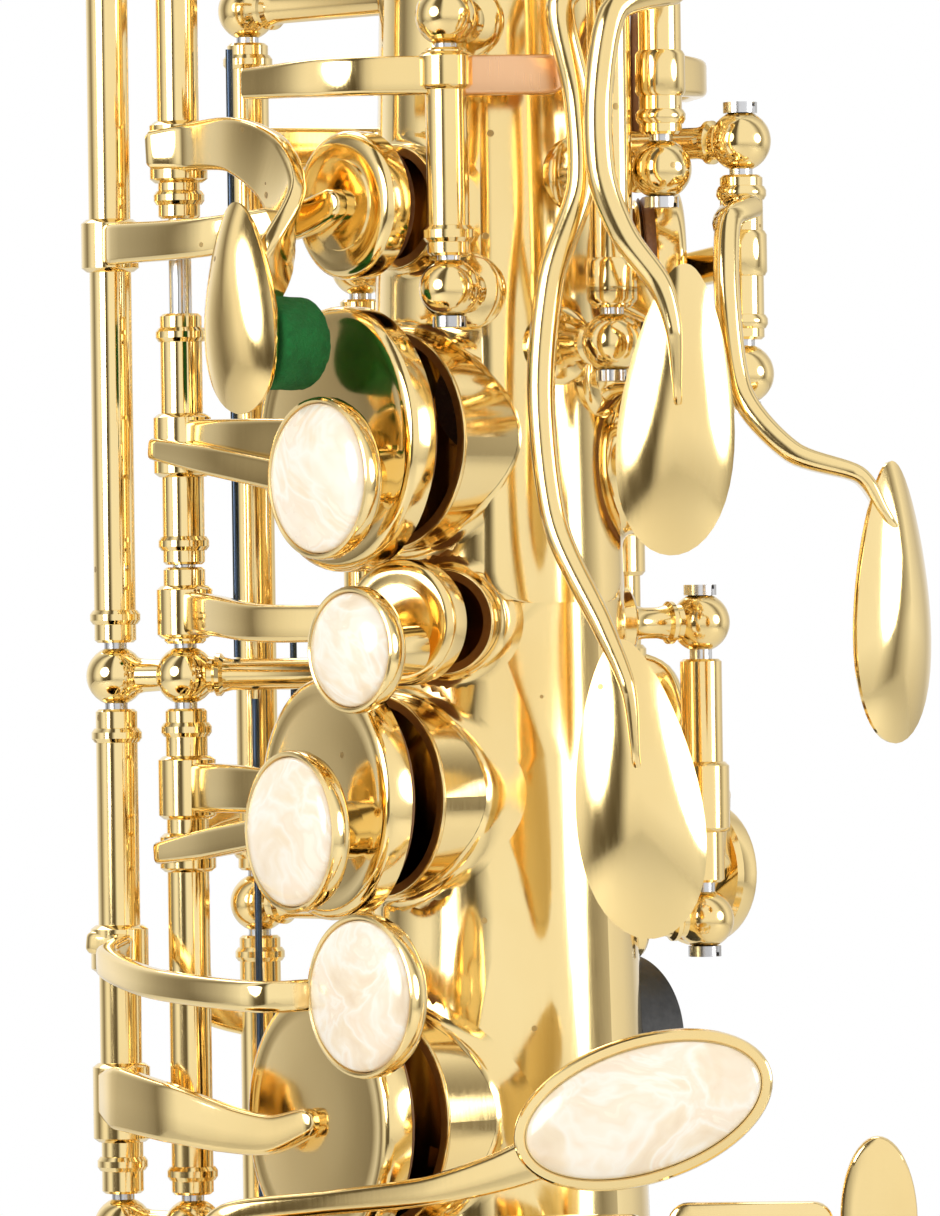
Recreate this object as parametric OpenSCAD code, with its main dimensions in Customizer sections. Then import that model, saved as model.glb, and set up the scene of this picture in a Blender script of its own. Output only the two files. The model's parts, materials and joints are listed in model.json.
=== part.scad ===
/* [Body tube] */
// Outer radius of the body tube at its top
top_r = 12; // [11.5:0.1:13]
// Radius gained per millimetre of tube
taper = 0.0268; // [0.024:0.0002:0.029]
// Length of the straight body tube
body_len = 480; // [470:5:500]
// Wall of the body, bow and bell
wall = 0.8; // [0.6:0.1:1.2]
// Height of the tone hole chimneys above the tube
chimney_h = 3; // [2:0.25:3.5]

/* [Bow and bell] */
// Distance from the body axis to the bell axis
bell_gap = 102; // [100:1:112]
// Outer radius of the bell at its lower end
bell_r = 30.5; // [29:0.5:32]
// Outer radius of the bell rim
rim_r = 61; // [58:0.5:61.5]
// Depth of the rim below the top of the body
rim_depth = 210; // [206:1:216]

/* [Key work] */
// Radius of the steel hinge rods
rod_r = 1.3; // [1:0.05:1.5]
// Running clearance between a rod and its key tube
rod_play = 0.05; // [0.02:0.01:0.09]
// Outer radius of the key tubes
tube_r = 2.4; // [2:0.1:2.6]
// Radius of the balls on the posts
ball_r = 3.4; // [3:0.1:3.6]
// Radius of the post stems
stem_r = 1.9; // [1.6:0.1:2.2]
// Radius of the foot under each post
foot_r = 4.4; // [3:0.1:4.6]
// Gap left round a tone hole where a foot is cut back
foot_gap = 0.15; // [0.05:0.05:0.4]
// Gap between a closed pad and its tone hole
pad_gap = 0.12; // [0.05:0.01:0.3]
// Radius of the finger pearl holders
pearl_r = 9; // [8:0.25:9.25]
// Opening of the stack keys in degrees
stack_open = 7; // [4:0.5:7.5]
// Thickness of the felt under the front F touch
felt_t = 6.6; // [5:0.2:7]

/* [Neck and mouthpiece] */
// Outer radius of the neck at its cork end
neck_tip_r = 6.2; // [5.8:0.1:6.8]
// Length of the mouthpiece
mouthpiece_len = 88; // [80:1:95]

/* [Hidden] */
$fn = 48;

// Heights, directions and places shared by the pieces
view_az = 40;
grow = top_r - 12;
near = [sin(view_az), -cos(view_az), 0];
skirt = 1.3;
sleeve = 2.2;
pad_t = 3.45;
cup_t = 5.1;
strap_t = 2.2;
ring_depth = 226;
ring_out = 31;
origin = [0, -ring_out - grow, ring_depth];

function R(d) = top_r + taper * d;
function P(phi, r, d) = [(r + grow) * sin(phi), -(r + grow) * cos(phi), -d];
function VX(x, y) = [x * cos(view_az) + y * sin(view_az), x * sin(view_az) - y * cos(view_az)];
function V(x, y, d) = let (s = 1 + grow / norm([x, y]), v = VX(x, y)) [v.x * s, v.y * s, -d];
function rim(d) = R(d) + chimney_h;
function back(d) = rim(d) + pad_gap + cup_t;
function strap_r(d) = back(d) + strap_t / 2 - 0.3 - grow;
function flat(p) = [p.x, p.y, 0];

// Hinge lines, each a place round the body
HU = P(-57, 36, 0);
HL = P(-60, 44.5, 0);
HS1 = P(-92, 38, 0);
HS2 = P(-110, 31, 0);
HS3 = P(-128, 31, 0);
HW = P(-16, 36, 0);
HT = V(-5, 22.4, 0);
HG = P(-24, 34, 0);
HK1 = V(-12.4, 25, 0);
HK2 = V(-4.2, 28, 0);
HK3 = V(4.2, 29, 0);
HF = V(27.6, 18, 0);
HD = V(18.7, 20, 0);
HE = V(13, 22, 0);
HO = P(152, 25, 0);
HP = P(180, 22, 0);
HQ1 = P(-112, 38, 0);
HQ2 = P(-94, 41, 0);

// Tone holes as turn, depth, cup radius
TC = [-4, 45, 8.3];
TB = [-6, 71, 14.8];
TBIS = [19, 91.5, 7];
TA = [-10, 111, 13.6];
TG = [-10, 147, 15];
TGS = [-62, 182, 13];
TFS = [-60, 214, 15];
TF = [-60, 250, 16.5];
TE = [-60, 290, 17.5];
TD = [-60, 333, 19];
TLEB = [-158, 385, 18];
TLC = [-50, 434, 21];
THF = [128, 31, 9.6];
THEB = [134, 52, 9.5];
THD = [132, 74, 9.5];
THE = [-136, 36, 9];
TSC = [-140, 66, 9.5];
TSB = [-142, 103, 10];
BODY_HOLES = [TC, TB, TBIS, TA, TG, TGS, TFS, TF, TE, TD, TLEB, TLC, THF, THEB, THD, THE, TSC, TSB];

// Bell holes as turn round the bell axis, depth, cup radius
TLCS = [113, 425, 20];
TLB = [-124, 362, 23];
TLBB = [-124, 304, 24];
BELL_HOLES = [TLCS, TLB, TLBB];

BELL_PROFILE = [
    [bell_r, body_len], [bell_r + 1.2, 440], [bell_r + 2.6, 400], [bell_r + 4.6, 360],
    [bell_r + 7.4, 320], [bell_r + 11.2, 282], [bell_r + 15.6, 252], [bell_r + 20.6, 230],
    [bell_r + 25.6, 217], [rim_r - 1, rim_depth + 1.2], [rim_r, rim_depth]
];
function bell_at(d) = bell_r + 4.6 + (360 - d) * 0.07;
function bell_outer(d) = lookup(-d, [for (i = [0 : len(BELL_PROFILE) - 1])
    [-BELL_PROFILE[i].y, BELL_PROFILE[i].x]]);

// ---------- building blocks ----------
module facing(phi, r, d) {
    rotate([0, 0, phi]) translate([0, -r, -d]) rotate([90, 0, 0]) children();
}

module placed(p, phi, tilt = 0) {
    translate(p) rotate([0, 0, phi]) rotate([90, 0, 0]) rotate([0, 0, tilt]) children();
}

module swing(h, a) {
    translate([h.x, h.y, 0]) rotate([0, 0, a]) translate([-h.x, -h.y, 0]) children();
}

function side_of(ex, p, up) = abs(ex * up) < 0.85 ? up
    : abs(ex.z) < 0.85 ? [0, 0, 1] : [p.x, p.y, 0] / norm([p.x, p.y]);

module seg(p, q, w, t, up0) {
    d = q - p;
    ex = d / norm(d);
    up = side_of(ex, p, up0);
    ey0 = up - (up * ex) * ex;
    ey = ey0 / norm(ey0);
    ez = cross(ex, ey);
    multmatrix([
        [ex.x, ey.x, ez.x, p.x],
        [ex.y, ey.y, ez.y, p.y],
        [ex.z, ey.z, ez.z, p.z],
        [0, 0, 0, 1]
    ]) translate([-t * 0.4, -w / 2, -t / 2]) cube([norm(d) + t * 0.8, w, t]);
}

module limb(pts, ws, t = strap_t, up = [0, 0, 1]) {
    for (i = [0 : len(pts) - 2]) seg(pts[i], pts[i + 1],
        ws[min(i, len(ws) - 1)] - 0.2 * (i % 2), t - 0.14 * (i % 2), up);
}

module cone_solid(extra = 0) {
    translate([0, 0, -body_len])
        cylinder(r1 = R(body_len) + extra, r2 = top_r + extra, h = body_len, $fn = 96);
}

module cup(r) {
    rotate_extrude() polygon([
        [0, pad_t + 0.05], [r - 0.9, pad_t + 0.05], [r - 0.9, skirt], [r, skirt],
        [r, cup_t - 1.2], [r - 0.9, cup_t - 0.4], [0.42 * r, cup_t], [0, cup_t]
    ]);
}

module pad(r) {
    rotate_extrude() polygon([
        [0, 0], [r - 1.9, 0], [r - 0.95, 0.9], [r - 0.95, pad_t], [0, pad_t]
    ]);
}

module seat(t) facing(t[0], rim(t[1]) + pad_gap, t[1]) children();

module bell_frame() translate([0, -bell_gap, 0]) children();

module bell_seat(t) {
    bell_frame() facing(t[0], bell_outer(t[1]) + chimney_h + pad_gap, t[1]) children();
}

module tube(h, a, b, r = tube_r) {
    translate([h.x, h.y, -b]) cylinder(r = r, h = b - a);
}

module bore(h, a, b) {
    translate([h.x, h.y, -b - 1]) cylinder(r = rod_r + rod_play, h = b - a + 2);
}

module saddle(h, d, w, lift = 1) {
    tube(h, d - w / 2, d + w / 2, tube_r + lift);
}

module pearl_holder(r = pearl_r) {
    rotate_extrude() polygon([
        [0, 0], [r - 2.4, 0], [r, 1.2], [r, 3.2], [r - 0.7, 3.2], [r - 0.7, 1.6], [0, 1.6]
    ]);
}

module pearl(r = pearl_r) {
    e = r - 0.75;
    rotate_extrude() polygon([
        [0, 1.65], [e, 1.65], [e, 2.8], [e - 0.5, 3.5], [e - 1.6, 4.1],
        [e - 3.2, 4.6], [e - 5.2, 4.9], [0, 5]
    ]);
}

function drop(l, w) = [for (i = [0 : 35]) let (a = i * 10)
    [w / 2 * cos(a) * (1 - 0.3 * sin(a)), l / 2 * sin(a)]];

module touch(l, w, t = 3.6) {
    intersection() {
        linear_extrude(t) polygon(drop(l, w));
        translate([0, 0, t - w * 1.1]) rotate([90, 0, 0])
            cylinder(r = w * 1.1, h = l * 1.2, center = true, $fn = 64);
    }
}

function seat_r(d) = d < 14 ? top_r + sleeve : R(d);

module receiver_outline(extra = 0) {
    translate([0, 0, -16 - extra]) cylinder(r = top_r + sleeve + extra, h = 32);
    translate([0, 0, -16.5 - extra]) cylinder(r = top_r + sleeve + 0.8 + extra, h = 3 + 2 * extra);
}

module post(h, d, phi = undef, foot = foot_r) {
    r = norm([h.x, h.y]);
    turn = phi == undef ? atan2(h.x, -h.y) : phi;
    difference() {
        union() {
            translate([h.x, h.y, -d]) sphere(r = ball_r);
            rotate([0, 0, turn]) translate([0, -r, -d]) rotate([-90, 0, 0])
                cylinder(r = stem_r, h = r - seat_r(d) + 4);
            facing(turn, seat_r(d) - 4, d) cylinder(r = foot, h = 5.4);
        }
        cone_solid();
        if (d < 22) receiver_outline(0.02);
        for (t = BODY_HOLES) if (abs(t[1] - d) < t[2] + foot_r)
            facing(t[0], 0, t[1]) cylinder(r = t[2] * 0.82 + foot_gap, h = rim(t[1]) + 0.5);
        translate([h.x, h.y, -d - 5]) cylinder(r = rod_r + 0.02, h = 10);
    }
}

// ---------- body, bow and bell ----------
module body_tube() color("Goldenrod") {
    difference() {
        union() {
            cone_solid();
            for (t = BODY_HOLES) facing(t[0], 0, t[1]) cylinder(r = t[2] * 0.82, h = rim(t[1]));
            facing(-166, R(84) - 3, 84) cylinder(r = 2.4, h = 5.5);
        }
        translate([0, 0, -body_len - 0.5]) cylinder(
            r1 = R(body_len + 0.5) - wall, r2 = R(-0.5) - wall, h = body_len + 1, $fn = 96);
        for (t = BODY_HOLES) facing(t[0], 0, t[1]) cylinder(r = t[2] * 0.82 - 0.9, h = 60);
        facing(-166, 4, 84) cylinder(r = 1.1, h = 30);
    }
}

module neck_receiver() color("Goldenrod") {
    difference() {
        union() {
            receiver_outline();
            translate([0, 0, 12.5]) cylinder(r = top_r + 3.4, h = 4);
            translate([-4.5, top_r, 2]) cube([9, 10, 10]);
        }
        translate([0, 0, -20]) cylinder(r1 = R(20), r2 = R(0), h = 20.01, $fn = 96);
        cylinder(r = top_r - 0.1, h = 40, $fn = 96);
        translate([-0.6, top_r - 3, 0.5]) cube([1.2, 20, 30]);
        translate([-10, top_r + 6, 7]) rotate([0, 90, 0]) cylinder(r = 1.72, h = 20);
    }
}

module receiver_screw() {
    difference() {
        union() {
            translate([-7, top_r + 6, 7]) rotate([0, 90, 0]) cylinder(r = 1.7, h = 12.5);
            translate([4.6, top_r + 6, 7]) rotate([0, 90, 0]) cylinder(r = 3.9, h = 4.5);
        }
        translate([8.4, top_r + 1, 6.6]) cube([2, 10, 0.8]);
    }
}

bow_rings_n = 24;
bow_sides = 40;
function bow_point(i, j, inset, r0, r1) = let (
    a = 180 * i / bow_rings_n,
    c = [0, -bell_gap / 2 + bell_gap / 2 * cos(a), -body_len - bell_gap / 2 * sin(a)],
    o = [0, cos(a), -sin(a)],
    r = r0 + (r1 - r0) * i / bow_rings_n - inset,
    b = 360 * j / bow_sides
) c + r * cos(b) * o + [r * sin(b), 0, 0];

module bow() color("Goldenrod") {
    r0 = R(body_len);
    n = bow_sides;
    m = bow_rings_n;
    outer = [for (i = [0 : m]) for (j = [0 : n - 1]) bow_point(i, j, 0, r0, bell_r)];
    inner = [for (i = [0 : m]) for (j = [0 : n - 1]) bow_point(i, j, wall, r0, bell_r)];
    s = len(outer);
    faces = concat(
        [for (i = [0 : m - 1]) for (j = [0 : n - 1])
            [i * n + j, i * n + (j + 1) % n, (i + 1) * n + (j + 1) % n]],
        [for (i = [0 : m - 1]) for (j = [0 : n - 1])
            [i * n + j, (i + 1) * n + (j + 1) % n, (i + 1) * n + j]],
        [for (i = [0 : m - 1]) for (j = [0 : n - 1])
            [s + i * n + j, s + (i + 1) * n + (j + 1) % n, s + i * n + (j + 1) % n]],
        [for (i = [0 : m - 1]) for (j = [0 : n - 1])
            [s + i * n + j, s + (i + 1) * n + j, s + (i + 1) * n + (j + 1) % n]],
        [for (j = [0 : n - 1]) [j, s + j, s + (j + 1) % n]],
        [for (j = [0 : n - 1]) [j, s + (j + 1) % n, (j + 1) % n]],
        [for (j = [0 : n - 1]) [m * n + j, s + m * n + (j + 1) % n, s + m * n + j]],
        [for (j = [0 : n - 1]) [m * n + j, m * n + (j + 1) % n, s + m * n + (j + 1) % n]]
    );
    polyhedron(points = concat(outer, inner), faces = faces);
}

module bell_solid(inset = 0) {
    rotate_extrude($fn = 96) polygon(concat(
        [[0, -body_len], for (p = BELL_PROFILE) [p.x - inset, -p.y]], [[0, -rim_depth]]));
}

module bell() color("Goldenrod") {
    bell_frame() {
        difference() {
            union() {
                bell_solid();
                for (t = BELL_HOLES) facing(t[0], 0, t[1])
                    cylinder(r = t[2] * 0.84, h = bell_outer(t[1]) + chimney_h);
                rotate_extrude($fn = 96) translate([rim_r, -rim_depth]) circle(r = 1.6, $fn = 24);
            }
            difference() {
                rotate_extrude($fn = 96) polygon(concat([[0, -body_len - 1]],
                    [[bell_r - wall, -body_len - 1]],
                    [for (p = BELL_PROFILE) [p.x - wall, -p.y]],
                    [[rim_r - wall, -rim_depth + 3], [0, -rim_depth + 3]]));
            }
            for (t = BELL_HOLES) facing(t[0], 0, t[1]) cylinder(r = t[2] * 0.84 - 1, h = 80);
        }
    }
}

module bow_rings() color("Goldenrod") {
    difference() {
        translate([0, 0, -body_len - 4.5]) cylinder(r = R(body_len) + 2, h = 9, $fn = 96);
        translate([0, 0, -body_len]) cylinder(r = R(body_len) + 0.06, h = 12, $fn = 96);
        translate([0, 0, -body_len - 6]) cylinder(r = R(body_len) + 1, h = 6.01, $fn = 96);
    }
    bell_frame() difference() {
        translate([0, 0, -body_len - 4.5]) cylinder(r = bell_r + 2.2, h = 9, $fn = 96);
        translate([0, 0, -body_len]) cylinder(r = bell_r + 0.25, h = 12, $fn = 96);
        translate([0, 0, -body_len - 6]) cylinder(r = bell_r + 1.1, h = 6.01, $fn = 96);
    }
}

module bell_brace() color("Goldenrod") {
    d = 251;
    difference() {
        union() {
            translate([0, -R(d) - 9, -d]) difference() {
                rotate([0, 90, 0]) rotate([0, 0, 0]) cylinder(r = 8, h = 3, center = true);
                rotate([0, 90, 0]) cylinder(r = 5.4, h = 8, center = true);
            }
            translate([0, -R(d) + 2, -d]) rotate([90, 0, 0]) cylinder(r = 5, h = 3.4);
            translate([0, -R(d) - 16, -d]) rotate([90, 0, 0])
                cylinder(r = 2.4, h = bell_gap - R(d) - 16 - 36);
            translate([0, -bell_gap + 48, -d]) rotate([90, 0, 0]) cylinder(r = 5, h = 8);
        }
        cone_solid();
        bell_frame() bell_solid();
    }
}

module strap_ring() color("Goldenrod") {
    d = ring_depth;
    r = ring_out + grow;
    difference() {
        union() {
            translate([0, r, -d]) rotate([0, 90, 0]) cylinder(r = 8, h = 3.2, center = true);
            translate([0, R(d) - 2, -d]) rotate([-90, 0, 0]) cylinder(r = 5.5, h = 4);
            translate([-1.6, R(d), -d - 3]) cube([3.2, 6, 6]);
        }
        cone_solid();
        translate([0, r, -d]) rotate([0, 90, 0]) cylinder(r = 5, h = 12, center = true);
    }
}

module thumb_hook() color("Goldenrod") {
    d = 306;
    difference() {
        union() {
            translate([-7, R(d) - 3, -d - 12]) cube([14, 5.4, 26]);
            translate([-6, R(d), -d + 4]) cube([12, 26, 2.6]);
            translate([-6, R(d) + 23.4, -d - 8]) cube([12, 2.6, 13]);
        }
        cone_solid();
    }
}

module thumb_rest() color("DimGray") {
    d = 139.5;
    difference() {
        union() {
            facing(172, R(d) - 3, d) cylinder(r = 9.5, h = 6.4);
            facing(172, R(d) + 2, d) cylinder(r1 = 9.5, r2 = 7.5, h = 3);
        }
        cone_solid();
    }
}

// ---------- posts, rods, springs ----------
U_POSTS = [[HU, 12], [HU, 97.2], [HU, 160.2], [HL, 12], [HL, 97.2], [HL, 160.2]];
module upper_posts() color("Goldenrod") {
    difference() {
        union() {
            for (p = U_POSTS) post(p[0], p[1], -57);
            for (p = U_POSTS) if (p[0] == HL) difference() {
                limb([[HL.x, HL.y, -p[1]], [HU.x, HU.y, -p[1]]], [3.2], 3.2);
                translate([HL.x, HL.y, -p[1] - 5]) cylinder(r = rod_r + 0.02, h = 10);
            }
        }
        for (p = U_POSTS) translate([p[0].x, p[0].y, -p[1] - 6]) cylinder(r = rod_r + 0.02, h = 12);
    }
    for (d = [24.4, 54.6]) post(HT, d);
    for (d = [20, 124, 232]) post(HS1, d);
    for (d = [50, 150, 258]) post(HS2, d);
    for (d = [88, 170, 282]) post(HS3, d);
    for (d = [166, 188]) post(HG, d, undef, 3.1);
}

module lower_posts() color("Goldenrod") {
    post(HW, 194.6, undef, 3.1);
    for (d = [231, 270, 356]) post(HW, d);
    for (d = [362, 404]) post(HQ1, d);
    for (d = [376, 452]) post(HQ2, d);
}

module palm_posts() color("Goldenrod") {
    for (d = [38.5, 64.4]) post(HF, d);
    for (d = [11, 41.6]) post(HD, d);
    for (d = [6, 60.8]) post(HE, d);
    for (d = [92, 126]) post(HO, d);
    for (d = [69, 108]) post(HP, d);
}

module bell_posts() color("Goldenrod") {
    for (d = [164.5, 404, 444]) post(HK1, d);
    for (d = [170, 345, 377]) post(HK2, d);
    for (d = [177, 285, 320]) post(HK3, d);
}

RODS = [
    [HU, 12, 160.2], [HL, 12, 160.2], [HT, 24.4, 54.6], [HS1, 20, 232], [HS2, 50, 258],
    [HS3, 88, 282], [HG, 166, 188], [HW, 194.6, 356], [HQ1, 362, 404], [HQ2, 376, 452],
    [HF, 38.5, 64.4], [HD, 11, 41.6], [HE, 6, 60.8], [HO, 92, 126], [HP, 69, 108],
    [HK1, 164.5, 444], [HK2, 170, 377], [HK3, 177, 320]
];
module hinge_rods() color("Silver") {
    for (r = RODS) tube(r[0], r[1] - ball_r + 0.4, r[2] + ball_r - 0.4, rod_r);
}

module pivot_screws() color("Silver") {
    for (r = RODS) for (d = [r[1] - ball_r - 0.9, r[2] + ball_r - 0.3]) difference() {
        translate([r[0].x, r[0].y, -d - 1.2]) cylinder(r = 1.9, h = 1.2);
        translate([r[0].x - 3, r[0].y - 0.25, -d - (d < r[1] ? 0.5 : 1.3)]) cube([6, 0.5, 0.6]);
    }
}

module needle(phi, r, a, post_d) tube(P(phi, r, 0), a, post_d - stem_r - 0.06, 0.4);
module needle_springs() color("MidnightBlue") {
    needle(-57, 30, 26, 97.2);
    needle(-57, 28, 100, 160.2);
    needle(-92, 32, 90, 124);
    needle(-110, 26, 112, 150);
    needle(-128, 27, 132, 170);
    needle(-16, 29, 236, 270);
    needle(-16, 29, 300, 356);
    needle(-94, 35, 410, 452);
}

module key_guards() color("Goldenrod") {
    for (t = [TLB, TLBB]) difference() {
        union() {
            bell_frame() facing(t[0], bell_outer(t[1]) + 22, t[1]) difference() {
                cylinder(r = t[2] * 0.7, h = 1.6);
                translate([0, 0, -1]) cylinder(r = t[2] * 0.7 - 3, h = 4);
            }
            for (a = [25, 155]) bell_frame() facing(t[0], 24, t[1]) rotate([0, 0, a])
                translate([t[2] + 3.5, 0, 0]) cylinder(r = 1.5, h = bell_outer(t[1]) - 1);
            for (a = [25, 155]) bell_frame() facing(t[0], bell_outer(t[1]) + 22, t[1])
                rotate([0, 0, a]) translate([t[2] * 0.7 - 2, -1.8, 0])
                    cube([t[2] * 0.3 + 7, 3.6, 1.6]);
        }
        bell_frame() bell_solid();
    }
}

module guard_felts() color("SeaGreen") {
    for (t = [TLB, TLBB]) bell_frame() facing(t[0], bell_outer(t[1]) + 18.9, t[1])
        difference() {
            cylinder(r = t[2] * 0.7 - 0.4, h = 3.05);
            translate([0, 0, -1]) cylinder(r = t[2] * 0.7 - 2.8, h = 6);
        }
}

// ---------- neck and mouthpiece ----------
neck_r0 = 11.8;
neck_bend = 52;
neck_rise = 24;
neck_turn = 100;
neck_n = 20;
neck_run = 62;
neck_s = 32;
function neck_c(i) = let (a = neck_turn * (i - 1) / neck_n)
    i == 0 ? [0, 0, 1] : i <= neck_n + 1
    ? [0, neck_bend * (1 - cos(a)), neck_rise + neck_bend * sin(a)]
    : [0, neck_bend * (1 - cos(neck_turn)) + neck_run * sin(neck_turn),
        neck_rise + neck_bend * sin(neck_turn) + neck_run * cos(neck_turn)];
function neck_o(i) = let (a = i == 0 ? 0 : neck_turn * (min(i, neck_n + 1) - 1) / neck_n)
    [0, -cos(a), sin(a)];
function neck_r(i) = let (u = i == 0 ? 0 : i <= neck_n + 1 ? 0.1 + 0.55 * (i - 1) / neck_n : 1)
    neck_r0 + grow + (neck_tip_r - neck_r0 - grow) * u;
neck_end = neck_c(neck_n + 2);
band_r = 13.9;

module neck_tube() color("Goldenrod") {
    n = neck_s;
    m = neck_n + 2;
    rings = [for (i = [0 : m]) for (j = [0 : n - 1]) let (b = 360 * j / n)
        neck_c(i) + neck_r(i) * (cos(b) * neck_o(i) + [sin(b), 0, 0])];
    bores = [for (i = [0 : m]) for (j = [0 : n - 1]) let (b = 360 * j / n)
        neck_c(i) + (neck_r(i) - 0.8) * (cos(b) * neck_o(i) + [sin(b), 0, 0])];
    s = len(rings);
    faces = concat(
        [for (i = [0 : m - 1]) for (j = [0 : n - 1])
            [i * n + j, (i + 1) * n + (j + 1) % n, i * n + (j + 1) % n]],
        [for (i = [0 : m - 1]) for (j = [0 : n - 1])
            [i * n + j, (i + 1) * n + j, (i + 1) * n + (j + 1) % n]],
        [for (i = [0 : m - 1]) for (j = [0 : n - 1])
            [s + i * n + j, s + i * n + (j + 1) % n, s + (i + 1) * n + (j + 1) % n]],
        [for (i = [0 : m - 1]) for (j = [0 : n - 1])
            [s + i * n + j, s + (i + 1) * n + (j + 1) % n, s + (i + 1) * n + j]],
        [for (j = [0 : n - 1]) [j, s + (j + 1) % n, s + j]],
        [for (j = [0 : n - 1]) [j, (j + 1) % n, s + (j + 1) % n]],
        [for (j = [0 : n - 1]) [m * n + j, s + m * n + j, s + m * n + (j + 1) % n]],
        [for (j = [0 : n - 1]) [m * n + j, s + m * n + (j + 1) % n, m * n + (j + 1) % n]]
    );
    polyhedron(points = concat(rings, bores), faces = faces);
}

module at_neck_end() translate(neck_end) rotate([-neck_turn, 0, 0]) rotate([0, 0, 180]) children();

module neck_cork() color("BurlyWood") {
    at_neck_end() translate([0, 0, -46]) difference() {
        cylinder(r1 = 8.9, r2 = 8.1, h = 45);
        translate([0, 0, -1]) cylinder(r1 = 8.45, r2 = 6.75, h = 47);
    }
}

module mouthpiece() color([0.06, 0.06, 0.07]) {
    l = mouthpiece_len;
    at_neck_end() translate([0, 0, -24]) difference() {
        union() {
            cylinder(r1 = 12.6, r2 = 11.2, h = l);
            cylinder(r = 13.4, h = 6);
        }
        translate([0, 0, -1]) cylinder(r1 = 9.0, r2 = 8.6, h = 27);
        translate([0, 0, 20]) cylinder(r = 6.2, h = l);
        translate([-20, 0, l]) rotate([-68, 0, 0]) translate([0, 0, 0]) cube([40, 40, 60]);
        translate([-20, -31, 24]) cube([40, 20, l]);
    }
}

module ligature() color("Gold") {
    at_neck_end() translate([0, 0, 8]) difference() {
        union() {
            cylinder(r = band_r + 0.9, h = 24);
            for (z = [6, 18]) translate([-6, -19, z - 2.5]) cube([12, 6, 5]);
        }
        translate([0, 0, -1]) cylinder(r = band_r, h = 26);
        for (z = [6, 18]) translate([-10, -17, z]) rotate([0, 90, 0]) cylinder(r = 1.42, h = 20);
    }
}

module clamp_screws() color("Silver") {
    receiver_screw();
    at_neck_end() for (z = [14, 26]) translate([-6.5, -17, z]) rotate([0, 90, 0]) {
        cylinder(r = 1.4, h = 13);
        translate([0, 0, 12.8]) cylinder(r = 3.4, h = 4);
    }
}

module reed() color("Wheat") {
    l = mouthpiece_len;
    at_neck_end() intersection() {
        translate([-6.5, -13.6, 4]) cube([13, 2.5, l - 30]);
        translate([0, 0, 2]) cylinder(r = band_r - 0.1, h = l);
    }
}

module neck_octave_key() color("Goldenrod") {
    z = 34;
    difference() {
        union() {
            translate([0, 0, 19.4]) cylinder(r = 17.2, h = 3);
            translate([-2.5, -17, 20]) cube([5, 3, 16.4]);
            limb([[0, -15.6, 36], [0, -9, 66], [0, 12, 87], [0, 36, 90]], [6], 2.2, [1, 0, 0]);
            translate([0, -15.2, z]) rotate([0, 90, 0]) cylinder(r = 2.6, h = 8, center = true);
            translate([0, 36, 84.2]) cylinder(r = 4.2, h = 6);
        }
        translate([0, 0, 10]) cylinder(r = 15.4, h = 20);
        translate([0, -15.2, z]) rotate([0, 90, 0]) cylinder(r = 1.35, h = 20, center = true);
    }
}

// ---------- octave mechanism ----------
module octave_lever() color("Goldenrod") {
    difference() {
        union() {
            tube(HO, 96.2, 121.8);
            limb([[HO.x, HO.y, -112], P(160, 29, 116), P(172, 31, 121)], [8, 10]);
            placed(P(172, 29.4, 121), 172) cylinder(r = 8.5, h = 3.2);
        }
        bore(HO, 96, 122);
    }
}

module octave_key() color("Goldenrod") {
    difference() {
        union() {
            tube(HP, 72.8, 104.2);
            limb([[HP.x, HP.y, -84], P(-172, 22.4, 84), P(-166, 21.6, 84)], [4]);
            facing(-166, R(84) + 2.62, 84) cylinder(r = 3.6, h = 5);
            limb([[HP.x, HP.y, -97], P(173, 25, 98.5), P(168, 25.6, 103)], [4.4]);
        }
        bore(HP, 72, 105);
    }
}

// ---------- top of the tube ----------
module front_f_key() color("Goldenrod") {
    difference() {
        union() {
            tube(HU, 15.8, 45.2);
            saddle(HU, 37, 7);
            limb([[HU.x, HU.y, -37], V(-27.5, 14, 37), V(-26, 21.5, 42), V(-26.5, 23.4, 50)],
                [7, 7, 8]);
            placed(V(-27.5, 23, 56.5), -8, 2) touch(23.5, 11.5, 3.4);
        }
        bore(HU, 15, 46);
    }
}

module front_f_felt() color("SeaGreen") {
    placed(V(-27.5, 23, 60.4), -8) translate([1.5, 0, -felt_t - 0.25]) cylinder(r = 5.3, h = felt_t);
}

module front_f_link() color("Goldenrod") {
    difference() {
        union() {
            tube(HT, 28, 51);
            limb([V(-27, 12, 31), V(-17, 21.5, 31), V(6.2, 21.2, 31)], [4.4], 2.6);
        }
        bore(HT, 29, 52);
    }
}

module upper_c_key() color("Goldenrod") {
    t = TC;
    swing(HL, -stack_open * 0.8) {
        difference() {
            union() {
                tube(HL, 15.8, 93.4);
                saddle(HL, 48, 6);
                limb([[HL.x, HL.y, -48], P(-53, 42, 48), P(-33, 32, 48), P(-16, 23.5, 46.5),
                    P(t[0], strap_r(t[1]), t[1])], [5, 4.6, 4.2, 4]);
                seat(t) cup(t[2]);
            }
            bore(HL, 15, 94);
        }
        seat(t) pad(t[2]);
    }
}

module stack_key(h, t, a, b, arm, w0 = 6, sign = -1, phis = [-40, -22], rs = [29, 24.5]) {
    swing(h, sign * stack_open) {
        difference() {
            union() {
                tube(h, a, b);
                saddle(h, arm, w0 + 1.5);
                limb([[h.x, h.y, -arm], P(phis[0], rs[0], arm),
                    P(phis[1], rs[1], (arm + t[1]) / 2), P(t[0], strap_r(t[1]), t[1])],
                    [w0, w0 - 0.6, w0 - 1.4]);
                seat(t) cup(t[2]);
                children();
            }
            bore(h, a, b);
        }
        seat(t) pad(t[2]);
    }
}

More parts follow.
